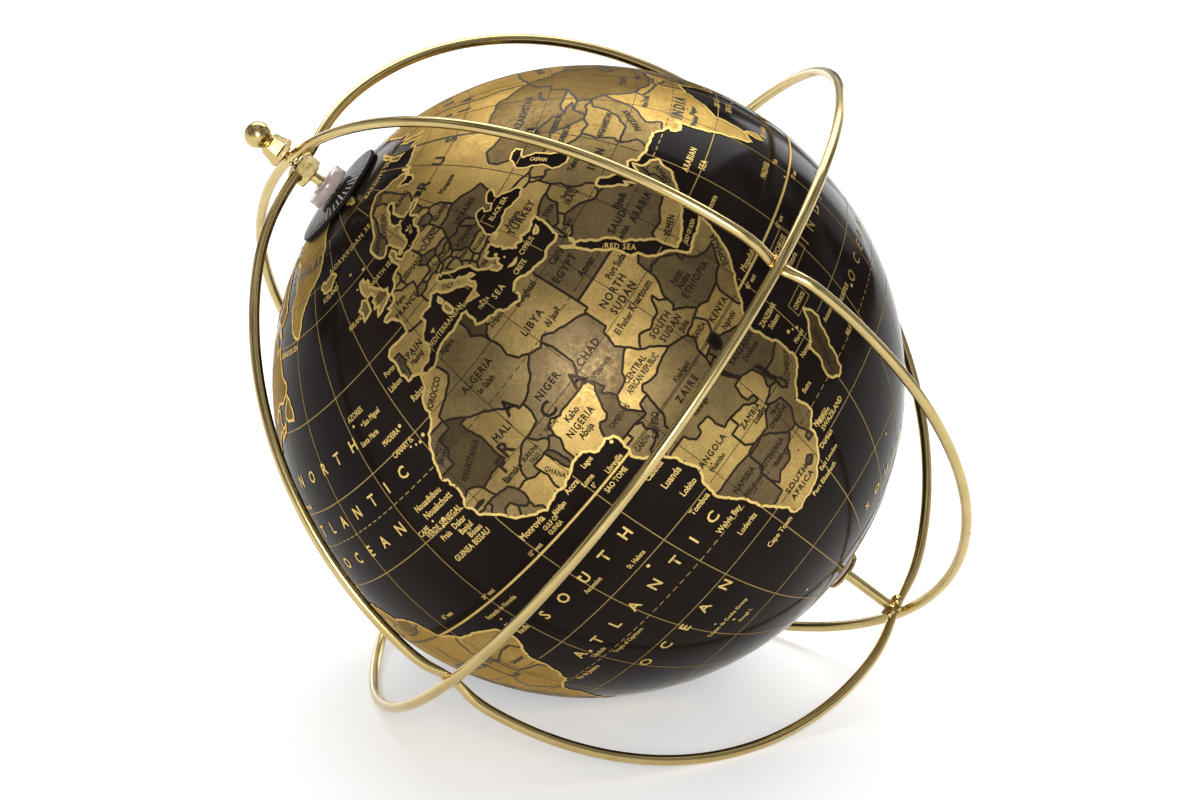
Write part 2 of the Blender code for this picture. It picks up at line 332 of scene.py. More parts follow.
wire_brass = brass_material("brass_drawn_wire", "wire")
turned_brass = brass_material("brass_turned")
braze = brass_material("braze_amber", None, 1.0)
black = black_material()
land_print = land_material()
gold_print = print_material("map_gold_line", (0.54, 0.375, 0.115), (0.82, 0.600, 0.205), 0.36, 0.75)
# Dim gold: the fine sea lines' own colour, and also painted shade on the Indian Ocean lettering, which stands
# in for the light falling off there.
dim_gold_and_painted_shade_print = print_material("map_gold_fine_line_and_painted_shade", (0.24, 0.165, 0.055), (0.42, 0.30, 0.11), 0.40, 0.7)
ink = print_material("map_dark_ink", (0.010, 0.007, 0.005), (0.022, 0.016, 0.011), 0.30, 0.0)
clear_plastic = clear_material("clear_plastic_bush", (0.52, 0.41, 0.385))
dial_mark = print_material("dial_mark_print", (0.34, 0.32, 0.30), (0.56, 0.53, 0.50), 0.5, 0.0)
dial_black = dial_material()

# --- cage ------------------------------------------------------------------------------------------------

def ring_frame(center, across, up):
    """Placement of a ring: its own x runs across, its y close to up, its z along its axis."""
    normal = across.cross(up).normalized()
    up = normal.cross(across)
    result = Matrix((across, up, normal)).transposed().to_4x4()
    result.translation = center
    return result


def plane_crossing(ring, radius, plane, guess):
    """Angle on a ring at which its centre line meets another ring's plane."""
    normal = plane.to_3x3().col[2]
    angle = guess
    for _ in range(10):
        point = ring @ Vector((radius * math.cos(angle), radius * math.sin(angle), 0.0))
        slope = ring.to_3x3() @ Vector((-radius * math.sin(angle), radius * math.cos(angle), 0.0))
        angle -= (point - plane.translation).dot(normal) / slope.dot(normal)
    return angle


def turned_between(angle, at):
    """Signed turn from one angle to another, between -pi and pi."""
    return (angle - at + math.pi) % (2 * math.pi) - math.pi


INSET = 0.00008                  # keeps the wandering wire inside the part's box
WANDER = 0.00003
JOINT_STEP, JOINT_HALF = 0.00024, 0.05
FLATTER, WIDER = 0.45, 0.22      # how much a hammered stretch loses in thickness and gains in width


def wire_ring(name, node, radius, ring, dents, opening=None, steps=540, sides=20, joint=None):
    """Round wire swept along a ring. dents are (angle, depth, half length, flattening)."""
    wire = WIRE_R
    if opening:
        first, last = opening[1], opening[0] + 2 * math.pi
        angles = [first + (last - first) * i / steps for i in range(steps + 1)]
    else:
        angles = [2 * math.pi * i / steps for i in range(steps)]
    verts, coords = [], []
    normal = ring.to_3x3().col[2]
    for angle in angles:
        pull, flat = 0.0, 0.0
        for at, depth, half, flatten in dents:
            away = abs(turned_between(angle, at))
            swell = math.exp(-(2.0 * away / half) ** 2)
            pull += depth * swell
            flat = max(flat, flatten * swell ** 2)
        if joint is not None:            # the butt joint: one side steps over the other
            away = turned_between(angle, joint)
            if abs(away) < JOINT_HALF:
                pull += JOINT_STEP * math.copysign(1.0, away) * (1 - abs(away) / JOINT_HALF)
        wander = noise.noise(Vector((math.cos(angle) * 3, math.sin(angle) * 3, radius * 900))) * WANDER
        r = radius - INSET - pull + wander
        out = ring.to_3x3() @ Vector((math.cos(angle), math.sin(angle), 0.0))
        center = ring.translation + out * r
        for k in range(sides):
            t = 2 * math.pi * k / sides
            verts.append(center + out * wire * math.cos(t) * (1 - FLATTER * flat)
                         + normal * wire * math.sin(t) * (1 + WIDER * flat))
            coords.append((angle * radius, wire * math.cos(t), wire * math.sin(t)))
    n, rows = len(angles), len(angles) if not opening else len(angles) - 1
    faces = [(i * sides + k, ((i + 1) % n) * sides + k, ((i + 1) % n) * sides + (k + 1) % sides,
              i * sides + (k + 1) % sides) for i in range(rows) for k in range(sides)]
    if opening:
        faces += [tuple(range(sides)), tuple((n - 1) * sides + k for k in reversed(range(sides)))]
    verts = [REST @ v for v in verts]
    for v in verts:
        v.z = max(v.z, 0.0)              # stands on the floor, not in it
    obj = add_piece(name, verts, faces, wire_brass, "cage", "brass", replaced=(node,), local=False)
    attribute = obj.data.attributes.new("wire", "FLOAT_VECTOR", "POINT")
    attribute.data.foreach_set("vector", [c for co in coords for c in co])
    return obj


axis_x, axis_y, axis_z = Vector((1, 0, 0)), Vector((0, 1, 0)), Vector((0, 0, 1))
outer_ring = ring_frame(CAGE_SHIFT, axis_y, axis_z)
skewed = Vector((math.cos(CROSSING_SKEW), math.sin(CROSSING_SKEW), 0.0))
inner_ring = ring_frame(CAGE_SHIFT, skewed, axis_z)
lean_axis = Vector((EQUATOR_TILT[0], EQUATOR_TILT[1], 1.0)).normalized()
equator_across = (axis_x - lean_axis * axis_x.dot(lean_axis)).normalized()
equator_ring = ring_frame(CAGE_SHIFT + axis_z * EQUATOR_LIFT, equator_across, lean_axis.cross(equator_across))


def lowest_point(ring, radius, up):
    """Point of a ring that touches the floor for a given up direction."""
    down = ring.to_3x3().transposed() @ -up
    angle = math.atan2(down.y, down.x)
    return ring @ Vector((radius * math.cos(angle), radius * math.sin(angle), 0.0))


def resting_place():
    """Placement that stands the globe's frame on all three rings, the pole leaning to POLE_AZIMUTH."""
    up = Vector((-1.0, 1.0, 1.0)).normalized()
    for _ in range(40):
        a, b, c = (lowest_point(ring, radius, up) for ring, radius in (
            (outer_ring, OUTER_MERIDIAN_R), (inner_ring, INNER_MERIDIAN_R), (equator_ring, EQUATORIAL_R)))
        normal = (b - a).cross(c - a).normalized()
        up = normal if normal.z > 0 else -normal
    level = (axis_z - up * axis_z.dot(up)).normalized()
    side = up.cross(level)
    world_x = level * math.cos(POLE_AZIMUTH) - side * math.sin(POLE_AZIMUTH)
    world_y = level * math.sin(POLE_AZIMUTH) + side * math.cos(POLE_AZIMUTH)
    return Matrix.Translation(GLOBE_PLACE) @ Matrix((world_x, world_y, up)).to_4x4()


REST = resting_place()


def crossings(ring, radius):
    """(angle, how far the ring stands out beyond the equatorial ring there, point) at both sides."""
    result = []
    for guess in (0.0, math.pi):
        angle = plane_crossing(ring, radius, equator_ring, guess)
        point = ring @ Vector((radius * math.cos(angle), radius * math.sin(angle), 0.0))
        result.append((angle, (point - equator_ring.translation).length - EQUATORIAL_R, point))
    return result


BEND = math.radians(7.0)
NESTING = 0.00095                # centre of the crossing wire inside the equatorial ring's
outer_dents = [(a, out + NESTING, BEND, 1.0) for a, out, _ in crossings(outer_ring, OUTER_MERIDIAN_R)]
inner_dents = [(a, out + NESTING, BEND, 1.0) for a, out, _ in crossings(inner_ring, INNER_MERIDIAN_R)]
SOUTH_NESTING = 1.75 * WIRE_R    # the crossed meridians sink into each other a little at the south end
south_dent = INNER_MERIDIAN_R - (OUTER_MERIDIAN_R - SOUTH_NESTING)
north_dent = INNER_MERIDIAN_R - (OUTER_MERIDIAN_R - 2 * WIRE_R - GAP)
collar_reach = HEX_FLATS / 2
shift_along = CAGE_SHIFT.dot(skewed)
ends = (math.pi / 2 - (collar_reach - shift_along) / INNER_MERIDIAN_R,
        math.pi / 2 + (collar_reach + shift_along) / INNER_MERIDIAN_R)
wire_ring("equatorial_wire", "equatorial_ring", EQUATORIAL_R, equator_ring, [], joint=math.radians(215.0))
wire_ring("outer_meridian_wire", "outer_meridian_ring", OUTER_MERIDIAN_R, outer_ring, outer_dents)
wire_ring("inner_meridian_wire", "inner_meridian_ring", INNER_MERIDIAN_R, inner_ring,
          inner_dents + [(math.pi / 2, north_dent, math.radians(20.0), 0.0),
                         (-math.pi / 2, south_dent, math.radians(12.0), 0.6)], opening=ends)

# Hex collar, finial, pins and washer.
HEX, SHARP = 6, 40
PIN_R, PIN_END = 0.0011, 0.052
corner = HEX_FLATS / math.sqrt(3.0)
collar_top = NORTH_Z - WIRE_R - GAP
collar_low = collar_top - 0.0041
foot_z = NORTH_Z + WIRE_R + GAP
neck_z = foot_z + 0.0045
ball_z, ball_r, neck_r = 0.0852, 0.0028, 0.0012
pin_top = collar_top - 0.0008
south_z = SOUTH_Z + SOUTH_NESTING
washer_r, washer_top, washer_foot = 0.00435, -0.0679, -0.0685
bevel_in, bevel_up = 0.00015, 0.00012


def fitting(name, profile, steps=HEX, node=None, closed=False):
    """A piece at the cage's ends: turned, or hexagonal and flat-sided."""
    flat = steps == HEX
    shape = revolve(profile, steps, HEX_TURN if flat else 0.0, closed)
    obj = add_piece(name, *shape, turned_brass, "cage", "brass", not flat, (node,) if node else ())
    if not flat:
        smooth_by_angle(obj, SHARP)


bevel, socket = 0.0003, 0.0006
fitting("collar_hex", [(0.0, collar_top), (corner - 1.8 * bevel, collar_top), (corner, collar_top - bevel),
                       (corner, collar_low + bevel), (corner - bevel, collar_low), (BORE_R, collar_low),
                       (BORE_R, collar_low + socket), (0.0, collar_low + socket)], node="hex_collar")
fitting("finial_foot", [(0.0, neck_z), (0.0016, neck_z), (0.0019, neck_z - 0.0001), (0.0024, neck_z - 0.0006),
                        (corner - 0.00025, foot_z + 0.0016), (corner, foot_z + 0.0013),
                        (corner, foot_z + 0.0004), (corner - 0.0005, foot_z), (0.0, foot_z)], node="finial")
ball = [(r, z + ball_z) for r, z in arc(ball_r, 0.0, math.pi - math.asin(neck_r / ball_r), 30)]
fitting("finial_ball", ball + [(neck_r, neck_z - bevel), (0.0, neck_z - bevel)], 64)
fitting("pin_north", [(0.0, pin_top), (PIN_R, pin_top), (PIN_R, PIN_END), (0.0, PIN_END)], 32, "north_pin")
fitting("pin_south", [(0.0, -PIN_END), (PIN_R, -PIN_END), (PIN_R, south_z + 0.0005), (0.00095, south_z),
                      (0.0, south_z)], 32, "south_pin")
fitting("washer_south", [(BORE_R, washer_top), (washer_r - bevel_in, washer_top),
                         (washer_r, washer_top - bevel_up), (washer_r, washer_foot + bevel_up),
                         (washer_r - bevel_in, washer_foot), (BORE_R, washer_foot)],
        64, "south_washer", True)


def drop(center, axes, seed, rough=0.3):
    """A solidified drop of braze: a ball stretched along three axes, with a lumpy skin."""
    verts, faces = revolve([(max(r, 0.0), z) for r, z in arc(1.0, 0.0, math.pi, 14)], 24)
    result = []
    for v in (Vector(v) for v in verts):
        lump = 1.0 + rough * noise.noise(v * 1.7 + Vector((seed * 7.3, seed * 3.1, seed)))
        lump += rough * 0.4 * noise.noise(v * 4.1 + Vector((seed, seed * 5.0, 2.0)))
        result.append(center + (axes[0] * v.x + axes[1] * v.y + axes[2] * v.z) * lump)
    return result, faces


def equator_braze():
    """Four drops in the corners of each crossing of a meridian and the equatorial ring."""
    sunk, along_step, around_step = 0.00062, 0.00105, 0.00078
    shapes = []
    for k, (ring, radius) in enumerate(((outer_ring, OUTER_MERIDIAN_R), (inner_ring, INNER_MERIDIAN_R))):
        for j, (angle, _, point) in enumerate(crossings(ring, radius)):
            radial = (point - equator_ring.translation).normalized()
            along = ring.to_3x3() @ Vector((-math.sin(angle), math.cos(angle), 0.0))
            around = lean_axis.cross(radial).normalized()
            seat = equator_ring.translation + radial * (EQUATORIAL_R - sunk)
            for side in (-1, 1):
                for way in (-1, 1):
                    spot = seat + along * side * along_step + around * way * around_step
                    shapes.append(drop(spot, (around * 0.00072, along * 0.00062, radial * 0.00052),
                                       11 * k + 5 * j + side + 2 * way + 3))
    return merged(*shapes)


def north_braze():
    """Drops where the inner meridian ends in the collar, and where the outer one passes over it."""
    shapes = []
    for side in (-1, 1):
        spot = axis_z * (collar_top - 0.0016) + skewed * side * (HEX_FLATS / 2 + 0.0002)
        shapes.append(drop(spot, (skewed * 0.0006, across * 0.00115, axis_z * 0.00105), 20 + side))
        shapes.append(drop(spot + across * 0.0008 + axis_z * 0.0006,
                           (skewed * 0.0005, across * 0.0006, axis_z * 0.0006), 30 + side))
    for side in (-1, 1):
        for lift, seed in ((-0.0008, 40), (0.0008, 44)):
            shapes.append(drop(axis_z * (NORTH_Z + lift) + axis_y * side * 0.0012,
                               (axis_x * 0.0006, axis_y * 0.0008, axis_z * 0.0005), seed + side))
    return merged(*shapes)


def south_braze():
    """A heap of drops around the crossed meridians; each is along, across, up, size."""
    heap = ((0.0015, 0.0004, 0.0009, 0.0017), (-0.0016, 0.0004, 0.0007, 0.0016),
            (0.0009, -0.0011, 0.0004, 0.0009), (-0.0010, -0.0010, 0.0010, 0.0010),
            (0.0001, 0.0013, -0.0002, 0.0009), (0.0020, -0.0002, 0.0002, 0.0009),
            (-0.0021, 0.0001, 0.0001, 0.0009), (0.0, -0.0014, 0.0, 0.0009))
    shapes = []
    for k, (dx, dy, dz, size) in enumerate(heap):
        spot = skewed * dx + across * dy + axis_z * (south_z + dz)
        shapes.append(drop(spot, (skewed * size, across * size * 0.85, axis_z * size * 0.8), 60 + 3 * k, 0.4))
    return merged(*shapes)


across = axis_z.cross(skewed)
add_piece("equator_braze", *equator_braze(), braze, "cage", "brass")
add_piece("north_braze", *north_braze(), turned_brass, "cage", "brass")
add_piece("south_braze", *south_braze(), turned_brass, "cage", "brass")

# --- globe body ------------------------------------------------------------------------------------------
profile = arc(GLOBE_R, 0.0, math.pi, 120)
profile[0], profile[-1] = (0.0, GLOBE_R), (0.0, -GLOBE_R)
add_piece("globe_ball", *revolve(profile, 240), black, "globe", "globe_black",
          replaced=("north_shell", "south_shell", "joining_band"))


def bush(name, node, rim, base, top, boss, boss_top):
    """Flanged clear bush with rounded edges; heights measured along the axle, away from the globe."""
    e = 0.00022
    way = 1.0 if top > 0 else -1.0
    points = [(BORE_R, boss_top), (boss - e, boss_top), (boss - 0.3 * e, boss_top - 0.3 * e * way),
              (boss, boss_top - e * way), (boss, top + 0.4 * e * way), (boss + e, top), (rim - e, top),
              (rim - 0.3 * e, top - 0.3 * e * way), (rim, top - e * way), (rim, base + e * way),
              (rim - e, base), (BORE_R, base)]
    obj = add_piece(name, *revolve(points, 72, closed=True), clear_plastic, "globe", "clear_plastic",
                    replaced=(node,))
    smooth_by_angle(obj, 50)


bush("bush_north", "north_bush", rim=0.00465, base=0.06645, top=0.06875, boss=0.0027, boss_top=0.0692)
bush("bush_south", "south_bush", rim=0.0043, base=-0.06535, top=-0.06755, boss=0.0030, boss_top=-0.0676)

# Hour dial: thin domed cap, ticks and a rim line.
DIAL_BORE, RIM_DROP = 0.0027, 0.00012
TICKS, TICK_START, LONG_TICK_START, TICK_END = 48, 0.0079, 0.0064, 0.0107
TICK_HALF, LONG_TICK_HALF = 0.00012, 0.00017
MARK_R = DIAL_HIGH + 0.00003
RIM_LINE, ROUND_STEPS = (0.01085, 0.01098), 128


def dial_cap():
    first, last = math.asin(DIAL_BORE / DIAL_HIGH), math.asin(DIAL_R / DIAL_HIGH)
    rim = DIAL_R - 0.00005
    profile = arc(DIAL_HIGH, first, last - 0.004, 24)
    profile += [(rim, DIAL_HIGH * math.cos(last) - RIM_DROP), (rim, DIAL_LOW * math.cos(last) + RIM_DROP)]
    profile += arc(DIAL_LOW, last - 0.003, first, 24)
    return revolve(profile, ROUND_STEPS, closed=True)


def dial_tick(k):
    """A bar along the dome; every fourth one is longer and wider."""
    a = 2 * math.pi * k / TICKS
    start = math.asin((TICK_START if k % 4 else LONG_TICK_START) / DIAL_HIGH)
    end = math.asin(TICK_END / DIAL_HIGH)
    half = TICK_HALF if k % 4 else LONG_TICK_HALF
    verts = []
    for r, z in arc(MARK_R, start, end, 3):
        for side in (-1, 1):
            verts.append((r * math.cos(a) - side * half * math.sin(a),
                          r * math.sin(a) + side * half * math.cos(a), z))
    return verts, [(2 * i, 2 * i + 1, 2 * i + 3, 2 * i + 2) for i in range(3)]


def dial_rim_line():
    verts, faces = [], []
    for i in range(ROUND_STEPS):
        a = 2 * math.pi * i / ROUND_STEPS
        verts += [(r * math.cos(a), r * math.sin(a), math.sqrt(MARK_R ** 2 - r ** 2)) for r in RIM_LINE]
        j = (i + 1) % ROUND_STEPS
        faces.append((2 * i, 2 * i + 1, 2 * j + 1, 2 * j))
    return verts, faces


add_piece("dial_cap", *dial_cap(), dial_black, "dial", "smoked_plastic", replaced=("hour_dial",))
add_piece("dial_ticks", *merged(*[dial_tick(k) for k in range(TICKS)], dial_rim_line()), dial_mark, "dial",
          "smoked_plastic")
